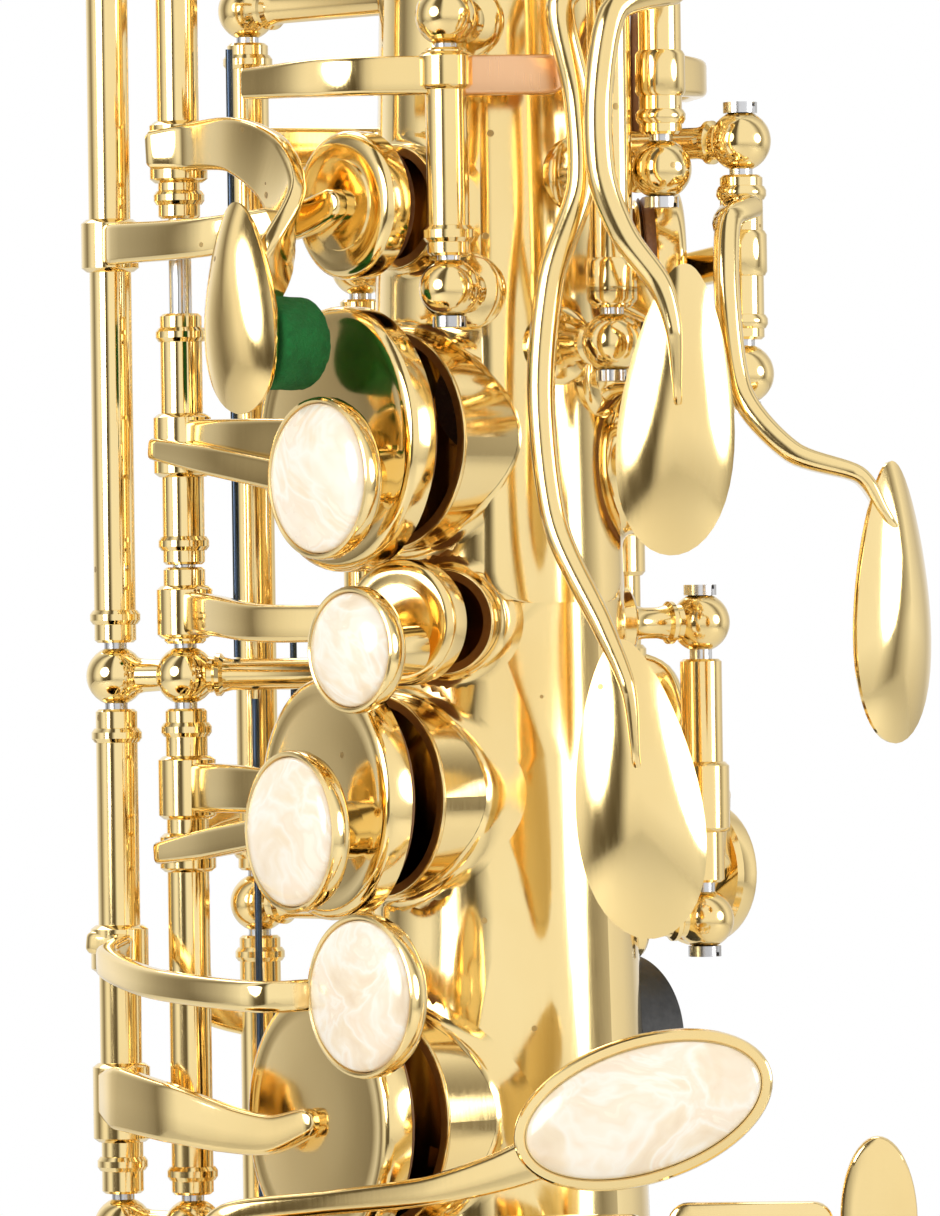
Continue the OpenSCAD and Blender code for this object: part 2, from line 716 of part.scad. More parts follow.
module stem_holder(p, phi, r0, stem = 3.2) {
    placed(p, phi) {
        pearl_holder();
        translate([0, 0, -r0]) cylinder(r = stem, h = r0 + 0.5);
    }
}

PB = P(-1, 27, 75.5);
PBIS = P(12, 29.5, 93);
PA = P(-3, 28.5, 115);
PG = P(16, 34, 133.5);
module b_key() color("Goldenrod") stack_key(HU, TB, 56, 84.6, 71) stem_holder(PB, -4, 6);
module b_pearl() color("Ivory") swing(HU, -stack_open) placed(PB, -4) pearl();

module bis_key() color("Goldenrod") {
    t = TBIS;
    swing(HU, -stack_open) {
        difference() {
            union() {
                tube(HU, 84.9, 93.6);
                limb([[HU.x, HU.y, -90], P(-40, 31, 90.5), P(-20, 27.5, 91.4),
                    P(t[0] - 6, back(t[1]) - grow + 1.6, t[1])], [5, 4, 4]);
                seat(t) cup(t[2]);
                placed(PBIS, 0) pearl_holder(7);
                placed(PBIS, 0) translate([0, 0, -6.5]) cylinder(r = 2.6, h = 7);
            }
            bore(HU, 84, 95);
        }
        seat(t) pad(t[2]);
    }
}

module bis_pearl() color("Ivory") swing(HU, -stack_open) placed(PBIS, 0) pearl(7);
module a_key() color("Goldenrod") stack_key(HU, TA, 101, 156.4, 111) stem_holder(PA, -8, 6);
module a_pearl() color("Ivory") swing(HU, -stack_open) placed(PA, -8) pearl();

module g_key() color("Goldenrod") {
    t = TG;
    swing(HL, -stack_open) {
        difference() {
            union() {
                tube(HL, 101, 156.4);
                saddle(HL, 129, 6);
                limb([[HL.x, HL.y, -129], P(-44, 42, 129.5), P(-22, 38, 131), P(2, 34.6, 133),
                    PG], [3.4], 2.6);
                saddle(HL, 146, 9);
                limb([[HL.x, HL.y, -146], P(-50, 41, 146), P(-32, 31.5, 146),
                    P(-20, 26, 147), P(t[0], strap_r(t[1]), t[1])], [7.5, 7, 5.5, 4.4]);
                seat(t) cup(t[2]);
                placed(PG, -2) pearl_holder();
            }
            bore(HL, 100, 157);
            placed(PG, -2) translate([0, 0, 1.6]) cylinder(r = pearl_r - 0.7, h = 6);
        }
        seat(t) pad(t[2]);
    }
}

module g_pearl() color("Ivory") swing(HL, -stack_open) placed(PG, -2) pearl();

// ---------- pinky table ----------
module oval(w, h, t, dome = 1.2) {
    linear_extrude(t) polygon([for (i = [0 : 35]) [w / 2 * cos(i * 10), h / 2 * sin(i * 10)]]);
}

PGS = V(15.3, 34, 146.5);
module gs_lever() color("Goldenrod") {
    difference() {
        union() {
            tube(HG, 169.8, 184.2);
            saddle(HG, 176, 8);
            limb([[HG.x, HG.y, -177.4], V(-33, 20, 171), V(-32, 30, 157), V(-9, 34.8, 154),
                V(6, 35, 149.5)], [7, 7, 5, 5]);
            placed(PGS, 40, 17) linear_extrude(2.6)
                polygon([for (i = [0 : 35]) [14.6 * cos(i * 10), 8 * sin(i * 10)]]);
        }
        bore(HG, 169, 185);
    }
}

module gs_pearl() color("Ivory") {
    placed(PGS, 40, 17) translate([0, 0, 2.62]) intersection() {
        linear_extrude(3) polygon([for (i = [0 : 35]) [13.2 * cos(i * 10), 6.6 * sin(i * 10)]]);
        translate([0, 0, -15.4]) rotate([0, 90, 0]) cylinder(r = 17.4, h = 40, center = true);
    }
}

module closed_key(h, t, a, b, arm, via, ws = [5], lift = 1) {
    difference() {
        union() {
            tube(h, a, b);
            saddle(h, arm, ws[0] + 1, lift);
            limb(concat([[h.x, h.y, -arm]], via, [P(t[0], strap_r(t[1]), t[1])]), ws);
            seat(t) cup(t[2]);
            children();
        }
        bore(h, a, b);
    }
    seat(t) pad(t[2]);
}

module gs_key() color("Goldenrod") {
    t = TGS;
    closed_key(HW, t, 198.2, 205.4, 201.6, [P(-26, 30.5, 202), P(-38, 28, 199.6), P(-50, 25.8, 192)]);
}

module touch_arm(h, d, via, p, phi, tilt, l, w) {
    limb(concat([[h.x, h.y, -d]], via, [p]), [6, 5, 5]);
    placed(p, phi, tilt) touch(l, w, 3.4);
}

// ---------- palm keys ----------
module palm_f_key() color("Goldenrod") {
    closed_key(HD, THF, 14.8, 37.8, 31, [P(104, 25.6, 31)], [4], 0.4) {
        limb([[HD.x, HD.y, -22], V(19, 29, 22), V(12, 35.3, 24), V(11.6, 35.3, 43),
            V(13.5, 34.9, 49), V(18.5, 34.2, 55)], [5], 3.4, near);
        placed(V(19.7, 32, 68.6), 43, -4) touch(32, 12.5, 3.6);
    }
}

module palm_d_key() color("Goldenrod") {
    closed_key(HE, THD, 9.8, 57, 54, [P(90, 23.8, 56.6), P(98, 23.8, 57.2),
        P(108, 24, 64), P(120, 24, 70)], [4], 0.4) {
        limb([[HE.x, HE.y, -26], V(7.4, 27, 26), V(9.6, 27.6, 36), V(9.8, 27.6, 45), V(6, 29, 55),
            V(5, 30, 70), V(6.5, 31, 82), V(13, 33.4, 95)], [5], 3.4, near);
        placed(V(14.7, 32.5, 110), 42, 6) touch(33, 13.5, 3.6);
    }
}

module palm_eb_key() color("Goldenrod") {
    closed_key(HF, THEB, 42.3, 60.6, 51, [P(114, 27.5, 51.4)], [5]) {
        limb([[HF.x, HF.y, -47], V(25.8, 25, 48), V(25.8, 28, 60), V(28, 29, 71), V(41, 30, 76)],
            [5], 3, near);
        placed(V(42.5, 30, 90), 90) touch(31, 13, 3.4);
    }
}

// ---------- side keys ----------
module side_e_key() color("Goldenrod") {
    difference() {
        union() {
            tube(HS1, 23.8, 120.2);
            limb([[HS1.x, HS1.y, -36], P(-112, 31, 36),
                P(THE[0], strap_r(THE[1]), THE[1])], [5]);
            seat(THE) cup(THE[2]);
            difference() {
                limb([[HS1.x, HS1.y, -112], P(-86, 44, 116), P(-86, 44, 134),
                    P(-92, 38, 138)], [4], 2.4);
                bore(HS1, 112, 150);
            }
            tube(HS1, 127.8, 228.2);
            limb([[HS1.x, HS1.y, -212], P(-84, 47, 213)], [8]);
            placed(P(-84, 46, 215), -66) touch(26, 12);
        }
        bore(HS1, 23, 121);
        bore(HS1, 127, 229);
    }
    seat(THE) pad(THE[2]);
}

module side_c_key() color("Goldenrod") {
    difference() {
        union() {
            tube(HS2, 53.8, 146.2);
            limb([[HS2.x, HS2.y, -66], P(-128, 27, 66),
                P(TSC[0], strap_r(TSC[1]), TSC[1])], [5]);
            seat(TSC) cup(TSC[2]);
            limb([[HS2.x, HS2.y, -140], P(-108, 38, 143), P(-108, 38, 157),
                P(-110, 31, 160)], [4], 2.4);
            tube(HS2, 153.8, 254.2);
            limb([[HS2.x, HS2.y, -240], P(-100, 44, 241)], [8]);
            placed(P(-99, 43, 243), -80) touch(24, 12);
        }
        bore(HS2, 53, 147);
        bore(HS2, 153, 255);
    }
    seat(TSC) pad(TSC[2]);
}

module side_bb_key() color("Goldenrod") {
    difference() {
        union() {
            tube(HS3, 91.8, 166.2);
            limb([[HS3.x, HS3.y, -103], P(-136, 29, 103),
                P(TSB[0], strap_r(TSB[1]), TSB[1])], [5]);
            seat(TSB) cup(TSB[2]);
            limb([[HS3.x, HS3.y, -160], P(-124, 38, 163), P(-124, 38, 177),
                P(-128, 31, 180)], [4], 2.4);
            tube(HS3, 173.8, 278.2);
            limb([[HS3.x, HS3.y, -268], P(-110, 44, 270)], [8]);
            placed(P(-108, 43, 270), -88) touch(24, 12);
        }
        bore(HS3, 91, 167);
        bore(HS3, 173, 279);
    }
    seat(TSB) pad(TSB[2]);
}

// ---------- lower stack ----------
module lower_key(t, a, b, arm) {
    stack_key(HW, t, a, b, arm, 7, 1, [-28, -44], [33, 30]) children();
}

function lower_pearl(t) = P(t[0], back(t[1]) - grow + 4, t[1]);
module fs_key() color("Goldenrod") lower_key(TFS, 205.8, 227.2, 214);
module f_key() color("Goldenrod")
    lower_key(TF, 234.8, 266.2, 250) stem_holder(lower_pearl(TF), TF[0], 5);
module e_key() color("Goldenrod")
    lower_key(TE, 273.8, 308, 290) stem_holder(lower_pearl(TE), TE[0], 5);
module d_key() color("Goldenrod")
    stack_key(HW, TD, 308.4, 352.2, 333, 7, 1, [-28, -44], [36.5, 33.5]) stem_holder(lower_pearl(TD), TD[0], 5);
module lower_p(t) swing(HW, stack_open) placed(lower_pearl(t), t[0]) pearl();
module f_pearl() color("Ivory") lower_p(TF);
module e_pearl() color("Ivory") lower_p(TE);
module d_pearl() color("Ivory") lower_p(TD);

module low_eb_key() color("Goldenrod") {
    closed_key(HQ1, TLEB, 365.8, 400.2, 385, [P(-128, 38.6, 385)], [7]) {
        limb([[HQ1.x, HQ1.y, -370.6], P(-96, 49, 370.6), P(-82, 50, 370.6)], [8]);
        placed(P(-78, 50, 370.6), -70, 90) touch(24, 11);
    }
}

module low_c_key() color("Goldenrod") {
    t = TLC;
    swing(HQ2, -stack_open) {
        difference() {
            union() {
                tube(HQ2, 379.8, 448.2);
                limb([[HQ2.x, HQ2.y, -434], P(-76, 36, 434), P(t[0], strap_r(t[1]), t[1])], [8]);
                seat(t) cup(t[2]);
                limb([[HQ2.x, HQ2.y, -386], P(-88, 50, 385), P(-82, 51, 385)], [8]);
                placed(P(-76, 51, 385), -70, 90) touch(24, 11);
            }
            bore(HQ2, 379, 449);
        }
        seat(t) pad(t[2]);
    }
}

// ---------- bell keys ----------
function bell_strap(t) = let (r = bell_outer(t[1]) + chimney_h + pad_gap + cup_t + 0.8)
    [r * sin(t[0]), -bell_gap - r * cos(t[0]), -t[1]];
module bell_key(h, t, runs, arm, via, ws = [8], open = 0) swing(h, open) {
    difference() {
        union() {
            for (r = runs) tube(h, r[0], r[1]);
            limb(concat([[h.x, h.y, -arm]], via, [bell_strap(t)]), ws);
            bell_seat(t) cup(t[2]);
            children();
        }
        for (r = runs) bore(h, r[0], r[1]);
    }
    bell_seat(t) pad(t[2]);
}

module low_cs_key() color("Goldenrod") {
    h = HK1;
    bell_key(h, TLCS, [[168.3, 400.2], [407.8, 440.2]], 425, [
        [10, -46, -425], [30, -57, -425]]) {
        limb([[h.x, h.y, -396], [h.x - 1, h.y - 7, -399], [h.x - 1, h.y - 7, -409],
            [h.x, h.y, -412]], [3.4], 2.2, [1, 0, 0]);
        limb([[h.x, h.y, -176], V(-9, 33.6, 176), V(2, 34.8, 170), V(5, 34.8, 165)], [6]);
        placed(V(5.6, 33.4, 163.4), 40) linear_extrude(3) square([19, 14], center = true);
    }
}

module low_b_key() color("Goldenrod") {
    h = HK2;
    bell_key(h, TLB, [[173.8, 341.2], [348.8, 373.2]], 362, [
        [8, -47, -362], [-20, -54, -362]], [8], -4) {
        limb([[h.x, h.y, -337], [h.x + 1, h.y - 7, -340], [h.x + 1, h.y - 7, -350],
            [h.x, h.y, -353]], [3.4], 2.2, [1, 0, 0]);
        limb([[h.x, h.y, -182], V(1, 35.2, 182), V(22, 35.2, 181), V(27, 35.2, 168)], [3], 2, near);
        placed(V(27, 34, 164), 40) linear_extrude(3) square([18, 18], center = true);
    }
}

module low_bb_key() color("Goldenrod") {
    h = HK3;
    bell_key(h, TLBB, [[180.8, 281.2], [288.8, 316.2]], 302, [
        [10, -46, -304], [-23.3, -50, -304]], [8], -4) {
        limb([[h.x, h.y, -277], [h.x + 1, h.y - 7, -280], [h.x + 1, h.y - 7, -290],
            [h.x, h.y, -293]], [3.4], 2.2, [1, 0, 0]);
        limb([[h.x, h.y, -192], V(14, 35, 192), V(38, 35.2, 190), V(40.8, 35.2, 160)], [5], 2, near);
        placed(V(40.8, 34, 157), 42) linear_extrude(3)
            polygon([for (i = [0 : 35]) [4.2 * cos(i * 10), 9 * sin(i * 10)]]);
    }
}

translate(origin) {
    body_tube();
    neck_receiver();
    bow();
    bell();
    bow_rings();
    bell_brace();
    strap_ring();
    thumb_hook();
    thumb_rest();
    upper_posts();
    lower_posts();
    palm_posts();
    bell_posts();
    hinge_rods();
    pivot_screws();
    needle_springs();
    key_guards();
    guard_felts();
    neck_tube();
    neck_cork();
    neck_octave_key();
    mouthpiece();
    ligature();
    clamp_screws();
    reed();
    octave_lever();
    octave_key();
    front_f_key();
    front_f_felt();
    front_f_link();
    palm_d_key();
    palm_eb_key();
    palm_f_key();
    side_e_key();
    side_c_key();
    side_bb_key();
    upper_c_key();
    b_key();
    b_pearl();
    bis_key();
    bis_pearl();
    a_key();
    a_pearl();
    g_key();
    g_pearl();
    gs_lever();
    gs_pearl();
    gs_key();
    fs_key();
    f_key();
    f_pearl();
    e_key();
    e_pearl();
    d_key();
    d_pearl();
    low_eb_key();
    low_c_key();
    low_cs_key();
    low_b_key();
    low_bb_key();
}
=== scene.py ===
import json
import math
import bpy
import bmesh
from mathutils import Matrix, Vector, noise


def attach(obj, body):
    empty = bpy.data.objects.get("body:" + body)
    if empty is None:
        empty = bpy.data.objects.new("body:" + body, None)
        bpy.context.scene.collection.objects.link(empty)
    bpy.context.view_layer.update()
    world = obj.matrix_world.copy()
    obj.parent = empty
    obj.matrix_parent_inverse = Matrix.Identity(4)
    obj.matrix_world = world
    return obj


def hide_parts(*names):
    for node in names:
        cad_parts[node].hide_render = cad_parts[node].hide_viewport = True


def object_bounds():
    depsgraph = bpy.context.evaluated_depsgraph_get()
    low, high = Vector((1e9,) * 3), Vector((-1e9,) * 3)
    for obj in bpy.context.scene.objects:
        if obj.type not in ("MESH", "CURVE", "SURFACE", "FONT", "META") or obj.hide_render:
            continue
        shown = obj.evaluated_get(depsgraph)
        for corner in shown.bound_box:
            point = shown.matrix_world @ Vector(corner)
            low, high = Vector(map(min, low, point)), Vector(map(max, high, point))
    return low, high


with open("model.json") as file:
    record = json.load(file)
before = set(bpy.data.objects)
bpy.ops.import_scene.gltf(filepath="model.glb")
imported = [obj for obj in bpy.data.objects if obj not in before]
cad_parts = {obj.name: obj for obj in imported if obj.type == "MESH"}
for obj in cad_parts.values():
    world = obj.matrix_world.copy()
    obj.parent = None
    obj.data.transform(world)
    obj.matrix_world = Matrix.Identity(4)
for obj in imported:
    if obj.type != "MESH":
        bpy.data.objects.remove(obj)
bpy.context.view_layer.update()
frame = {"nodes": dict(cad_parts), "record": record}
nodes = frame["nodes"]

# measures shared by the whole horn, in millimetres
horn = {"topR": 12.0, "taper": 0.0268, "chimney": 3.0, "padGap": 0.12, "cupHigh": 5.1, "padHigh": 3.45,
        "strap": 2.2, "axisY": -31.0, "topZ": 226.0, "bellGap": 102.0, "bellR": 30.5, "tableTurn": 40.0,
        "tubeR": 2.4, "ballR": 3.4, "stemR": 1.9, "footR": 4.4, "rodR": 1.36, "pearlR": 9.0, "open": 7.0}
toFrame = Matrix.Scale(0.001, 4) @ Matrix.Translation((0, horn["axisY"], horn["topZ"]))


def tubeR(d):
    return horn["topR"] + horn["taper"] * d


def around(turn, r, d):
    # a place round the body tube: turn in degrees, distance from its axis, depth below its top
    a = math.radians(turn)
    return Vector((r * math.sin(a), -r * math.cos(a), -d))


def beside(x, y, d):
    # x to the right and y outwards, seen square on to the pinky table
    a = math.radians(horn["tableTurn"])
    return Vector((x * math.cos(a) + y * math.sin(a), x * math.sin(a) - y * math.cos(a), -d))


def rim(d):
    return tubeR(d) + horn["chimney"]


def back(d):
    return rim(d) + horn["padGap"] + horn["cupHigh"]


def strapR(d):
    return back(d) + horn["strap"] / 2 - 0.3


def placed(at, turn, tilt=0.0):
    # a frame at a place: x across, y up the tube, z outwards
    return (Matrix.Translation(at) @ Matrix.Rotation(math.radians(turn), 4, "Z")
            @ Matrix.Rotation(math.radians(90), 4, "X") @ Matrix.Rotation(math.radians(tilt), 4, "Z"))


def facing(turn, r, d):
    return placed(around(turn, r, d), turn)


def seat(hole):
    return facing(hole[0], rim(hole[1]) + horn["padGap"], hole[1])


def swing(hinge, degrees):
    h = Matrix.Translation((hinge.x, hinge.y, 0))
    return h @ Matrix.Rotation(math.radians(degrees), 4, "Z") @ h.inverted()


def upright(hinge):
    # z runs down the horn, so a lathe profile is written in depths
    return Matrix.Translation((hinge.x, hinge.y, 0)) @ Matrix.Rotation(math.pi, 4, "X")


nearWay = (beside(0, 1, 0)).normalized()
acrossWay = (beside(1, 0, 0)).normalized()
upWay = Vector((0, 0, 1))


class Sock:
    # a socket that takes part in sums
    def __init__(self, tree, out):
        self.tree = tree
        self.out = out

    def maths(self, kind, other, swap=False):
        n = self.tree.nodes.new("ShaderNodeMath")
        n.operation = kind
        pair = (other, self) if swap else (self, other)
        for i, v in enumerate(pair):
            if isinstance(v, Sock):
                self.tree.links.new(v.out, n.inputs[i])
            elif v is not None:
                n.inputs[i].default_value = v
        return Sock(self.tree, n.outputs[0])

    def __add__(self, o): return self.maths("ADD", o)
    def __sub__(self, o): return self.maths("SUBTRACT", o)
    def __rsub__(self, o): return self.maths("SUBTRACT", o, True)
    def __mul__(self, o): return self.maths("MULTIPLY", o)
    def __truediv__(self, o): return self.maths("DIVIDE", o)
    def above(self, edge): return self.maths("GREATER_THAN", edge)


class Tree:
    # the nodes of one material or of the room
    def __init__(self, tree, coords):
        self.tree = tree
        self.coords = Sock(tree, tree.nodes.new("ShaderNodeTexCoord").outputs[coords])

    def node(self, kind, settings=None, out=0, **values):
        n = self.tree.nodes.new(kind)
        for k, v in (settings or {}).items():
            if k == "stops":
                while len(n.color_ramp.elements) < len(v):
                    n.color_ramp.elements.new(0.5)
                for e, (p, c) in zip(n.color_ramp.elements, v):
                    e.position, e.color = p, (*c, 1) if len(c) == 3 else c
            else:
                setattr(n, k, v)
        for k, v in values.items():
            sock = n.inputs[int(k[1:])] if k[0] == "i" and k[1:].isdigit() else n.inputs[k.replace("_", " ")]
            if isinstance(v, Sock):
                self.tree.links.new(v.out, sock)
            else:
                sock.default_value = v
        return Sock(self.tree, n.outputs[out])

    def noise(self, scale, detail=3.0, rough=0.5, at=None, distort=0.0):
        return self.node("ShaderNodeTexNoise", Vector=at or self.coords, Scale=scale,
                         Detail=detail, Roughness=rough, Distortion=distort)

    def ramp(self, fac, stops):
        return self.node("ShaderNodeValToRGB", {"stops": stops}, Fac=fac)

    def mix(self, fac, a, b, blend="MIX"):
        return self.node("ShaderNodeMix", {"data_type": "RGBA", "blend_type": blend}, out=2,
                         i0=fac, i6=a, i7=b)

    def span(self, v, a, b, c, d):
        return self.node("ShaderNodeMapRange", Value=v, From_Min=a, From_Max=b, To_Min=c, To_Max=d)


class Finish(Tree):
    # one material: a principled shader and the nodes that feed it
    def __init__(self, name, **fixed):
        self.mat = bpy.data.materials.new(name)
        self.mat.use_nodes = True
        super().__init__(self.mat.node_tree, "Object")
        self.shader = self.tree.nodes["Principled BSDF"]
        for k, v in fixed.items():
            self.shader.inputs[k.replace("_", " ")].default_value = v

    def feed(self, name, v):
        self.tree.links.new(v.out, self.shader.inputs[name])

    def bump(self, height, strength, distance):
        b = self.node("ShaderNodeBump", Height=height, Strength=strength, Distance=distance)
        self.feed("Normal", b)


class Maker:
    # gathers the surfaces of one piece in millimetres
    def __init__(self, turned=None):
        self.bm = bmesh.new()
        self.turned = turned or Matrix.Identity(4)

    def rows(self, rings, caps=True, loop=False):
        made = [[self.bm.verts.new(v) for v in ring] for ring in rings]
        n = len(rings[0])
        pairs = list(zip(made, made[1:])) + ([(made[-1], made[0])] if loop else [])
        for a, b in pairs:
            for i in range(n):
                j = (i + 1) % n
                self.bm.faces.new((a[i], a[j], b[j], b[i]))
        if caps and not loop:
            self.bm.faces.new(made[0][::-1])
            self.bm.faces.new(made[-1])

    def lathe(self, profile, place, steps=40, loop=False):
        turns = [(math.cos(2 * math.pi * k / steps), math.sin(2 * math.pi * k / steps)) for k in range(steps)]
        self.rows([[place @ Vector((r * c, r * s, z)) for c, s in turns] for r, z in profile], loop=loop)

    def plate(self, outline, levels, place):
        # an outline raised through levels, each a height and a share of the outline's size
        rings = []
        for z, share in levels:
            rings.append([place @ Vector((x * share, y * share, z)) for x, y in outline])
        self.rows(rings)

    def strap(self, points, wide, thick, up=upWay, steps=7, edge=0.32):
        path = smoothPath(points, steps)
        n = len(path)
        rings = []
        side = None
        for i, p in enumerate(path):
            along = (path[min(i + 1, n - 1)] - path[max(i - 1, 0)]).normalized()
            lean = min(1.0, max(0.0, (abs(along.dot(up)) - 0.6) / 0.35))
            spare = nearWay if abs(along.dot(nearWay)) < 0.8 else acrossWay
            want = up * (1 - lean) + (spare if side is None else side) * lean
            side = (want - along * want.dot(along)).normalized()
            out = along.cross(side)
            share = i / (n - 1)
            rings.append((p, along, side, out, partWay(wide, share) / 2, partWay(thick, share) / 2))
        full = []
        p, along, side, out, w, h = rings[0]
        full.append(section(p - along * 0.5, side, out, w * 0.8, h * 0.7, edge))
        full.extend(section(p, side, out, w, h, edge) for p, along, side, out, w, h in rings)
        p, along, side, out, w, h = rings[-1]
        for t in (0.35, 0.65, 0.85, 0.96, 1.0):
            s = math.sqrt(max(0.02, 1 - t * t))
            full.append(section(p + along * w * t, side, out, w * s, h * (0.55 + 0.45 * s), edge))
        self.rows(full)

    def tube(self, hinge, a, b, collars=()):
        # a key tube between two depths; a collar is its middle, its width and its lift
        r = horn["tubeR"]
        line = [(horn["rodR"], a), (r - 0.35, a), (r, a + 0.3)]
        for at, w, lift in sorted(collars):
            lo, hi = max(at - w / 2, a + 0.5), min(at + w / 2, b - 0.5)
            line += [(r, lo - 0.05), (r + lift * 0.35, lo), (r + lift, lo + 0.45), (r + lift, hi - 0.45),
                     (r + lift * 0.35, hi), (r, hi + 0.05)]
        line += [(r, b - 0.3), (r - 0.35, b), (horn["rodR"], b)]
        self.lathe(line, upright(hinge), 32, loop=True)

    def cup(self, hole, place=None):
        r, t = hole[2], horn["cupHigh"]
        at = place or seat(hole)
        self.lathe([(r - 0.9, 3.5), (r - 0.9, 1.45), (r - 0.7, 1.3), (r - 0.2, 1.3), (r, 1.5), (r, t - 1.35),
                    (r - 0.12, t - 0.95), (r - 0.5, t - 0.55), (r - 1.1, t - 0.35), (r - 1.9, t - 0.38),
                    (r - 2.5, t - 0.5), (r - 3.2, t - 0.42), (0.6 * r, t - 0.16), (0.42 * r, t - 0.02),
                    (0.2 * r, t), (0.02, t), (0.02, 3.5)], at, 64, loop=True)

    def touch(self, long, wide, high, place, edge=0.34, swell=2.4):
        outline = dropLine(long, wide)
        levels = [(0.0, 0.86), (0.12, 0.94), (high * edge * 0.6, 0.995), (high * edge, 1.0)]
        for s in (0.985, 0.95, 0.89, 0.8, 0.68, 0.54, 0.38, 0.2, 0.03):
            levels.append((high * edge + high * (1 - edge) * (1 - s ** swell), s))
        self.plate(outline, levels, place)

    def holder(self, place, r, stem=3.2, below=6.0):
        self.lathe([(stem, -below), (stem, -1.2), (stem + 0.5, -0.4), (r - 2.6, 0.0), (r - 1.2, 0.25),
                    (r - 0.35, 0.8), (r, 1.6), (r, 2.75), (r - 0.14, 3.1), (r - 0.38, 3.2), (r - 0.6, 3.12),
                    (r - 0.7, 2.8), (r - 0.7, 1.6), (0.02, 1.6)], place, 56)

    def done(self, name, body, finish, stands=(), sharp=34):
        bmesh.ops.recalc_face_normals(self.bm, faces=self.bm.faces)
        mesh = bpy.data.meshes.new(name)
        self.bm.to_mesh(mesh)
        self.bm.free()
        mesh.transform(toFrame @ self.turned)
        piece = bpy.data.objects.new(name, mesh)
        bpy.context.scene.collection.objects.link(piece)
        mesh.materials.append(finish.mat)
        mesh.shade_smooth()
        mesh.set_sharp_from_angle(angle=math.radians(sharp))
        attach(piece, body)
        if stands:
            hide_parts(*stands)
        return piece


def partWay(values, share):
    # the value at a share of the way along a list of values, or the one value
    if not isinstance(values, (tuple, list)):
        return values
    t = share * (len(values) - 1)
    k = min(int(t), len(values) - 2)
    return values[k] + (values[k + 1] - values[k]) * (t - k)


def smoothPath(points, steps):
    # a rounded run through the points, with its bends kept near them
    if len(points) < 3:
        return [points[0].lerp(points[-1], k / steps) for k in range(steps + 1)]
    ends = [points[0] * 2 - points[1]] + list(points) + [points[-1] * 2 - points[-2]]
    path = []
    for a, b, c, d in zip(ends, ends[1:], ends[2:], ends[3:]):
        m1, m2 = (c - a) * 0.42, (d - b) * 0.42
        limit = (c - b).length
        m1 = m1 * min(1, limit / max(m1.length, 1e-6))
        m2 = m2 * min(1, limit / max(m2.length, 1e-6))
        for k in range(steps):
            t = k / steps
            path.append(b * (2 * t ** 3 - 3 * t * t + 1) + m1 * (t ** 3 - 2 * t * t + t)
                        + c * (3 * t * t - 2 * t ** 3) + m2 * (t ** 3 - t * t))
    path.append(points[-1].copy())
    return path


def section(p, side, out, w, h, edge):
    # a bar's outline with its corners rounded
    b = min(w, h) * 2 * edge
    ring = []
    for sx, sy, first in ((1, 1, 0), (-1, 1, 1), (-1, -1, 0), (1, -1, 1)):
        corner = []
        for k in range(4):
            a = math.pi / 2 * k / 3
            x, y = (w - b) + b * math.cos(a), (h - b) + b * math.sin(a)
            corner.append(p + side * sx * x + out * sy * y)
        ring.extend(corner[::-1] if first else corner)
    return ring


def dropLine(long, wide, n=48):
    line = []
    for k in range(n):
        a = 2 * math.pi * k / n
        line.append((wide / 2 * math.cos(a) * (1 - 0.3 * math.sin(a)), long / 2 * math.sin(a)))
    return line


def ovalLine(wide, high, n=64):
    return [(wide * math.cos(2 * math.pi * k / n), high * math.sin(2 * math.pi * k / n)) for k in range(n)]


brassLook = {"colour": (0.95, 0.745, 0.36), "warm": (0.89, 0.635, 0.25), "rough": (0.05, 0.14), "coat": 0.25,
             "speck": (0.34, 0.2, 0.05)}


def brassFinish(name, look, streak=0.35):
    f = Finish(name, Metallic=1.0, Coat_Weight=look["coat"], Coat_Roughness=0.05)
    cloud = f.noise(26.0, 4.0, 0.55)
    drawn = f.node("ShaderNodeMapping", Vector=f.coords, Scale=(1.0, 1.0, 0.05))
    lines = f.noise(2600.0, 2.0, 0.6, at=drawn)
    cells = f.node("ShaderNodeTexVoronoi", {"feature": "F1"}, Vector=f.coords, Scale=230.0, Randomness=1.0)
    lucky = f.node("ShaderNodeTexVoronoi", {"feature": "F1"}, 1, Vector=f.coords, Scale=230.0, Randomness=1.0)
    parts = f.node("ShaderNodeSeparateColor", Color=lucky)
    dots = (1.0 - cells.above(0.09)) * parts.above(0.86)
    tone = f.mix(f.span(cloud, 0.35, 0.7, 0.0, 0.7), (*look["colour"], 1), (*look["warm"], 1))
    f.feed("Base Color", f.mix(dots * 0.7, tone, (*look["speck"], 1)))
    low, high = look["rough"]
    f.feed("Roughness", f.span(cloud, 0.3, 0.75, low, high) + f.span(lines, 0.3, 0.7, 0.0, 0.05) + dots * 0.3)
    f.bump(lines * streak + cloud * 0.6 + dots * 0.5, 0.12, 0.00004)
    return f


def steelFinish(name, colour, rough):
    f = Finish(name, Metallic=1.0)
    drawn = f.node("ShaderNodeMapping", Vector=f.coords, Scale=(1.0, 1.0, 0.04))
    lines = f.noise(3200.0, 2.0, 0.6, at=drawn)
    cloud = f.noise(60.0, 3.0)
    dark = tuple(c * 0.72 for c in colour)
    f.feed("Base Color", f.mix(f.span(cloud, 0.35, 0.7, 0.0, 1.0), (*colour, 1), (*dark, 1)))
    f.feed("Roughness", f.span(lines, 0.25, 0.75, rough * 0.8, rough * 1.35))
    f.bump(lines, 0.2, 0.00003)
    return f


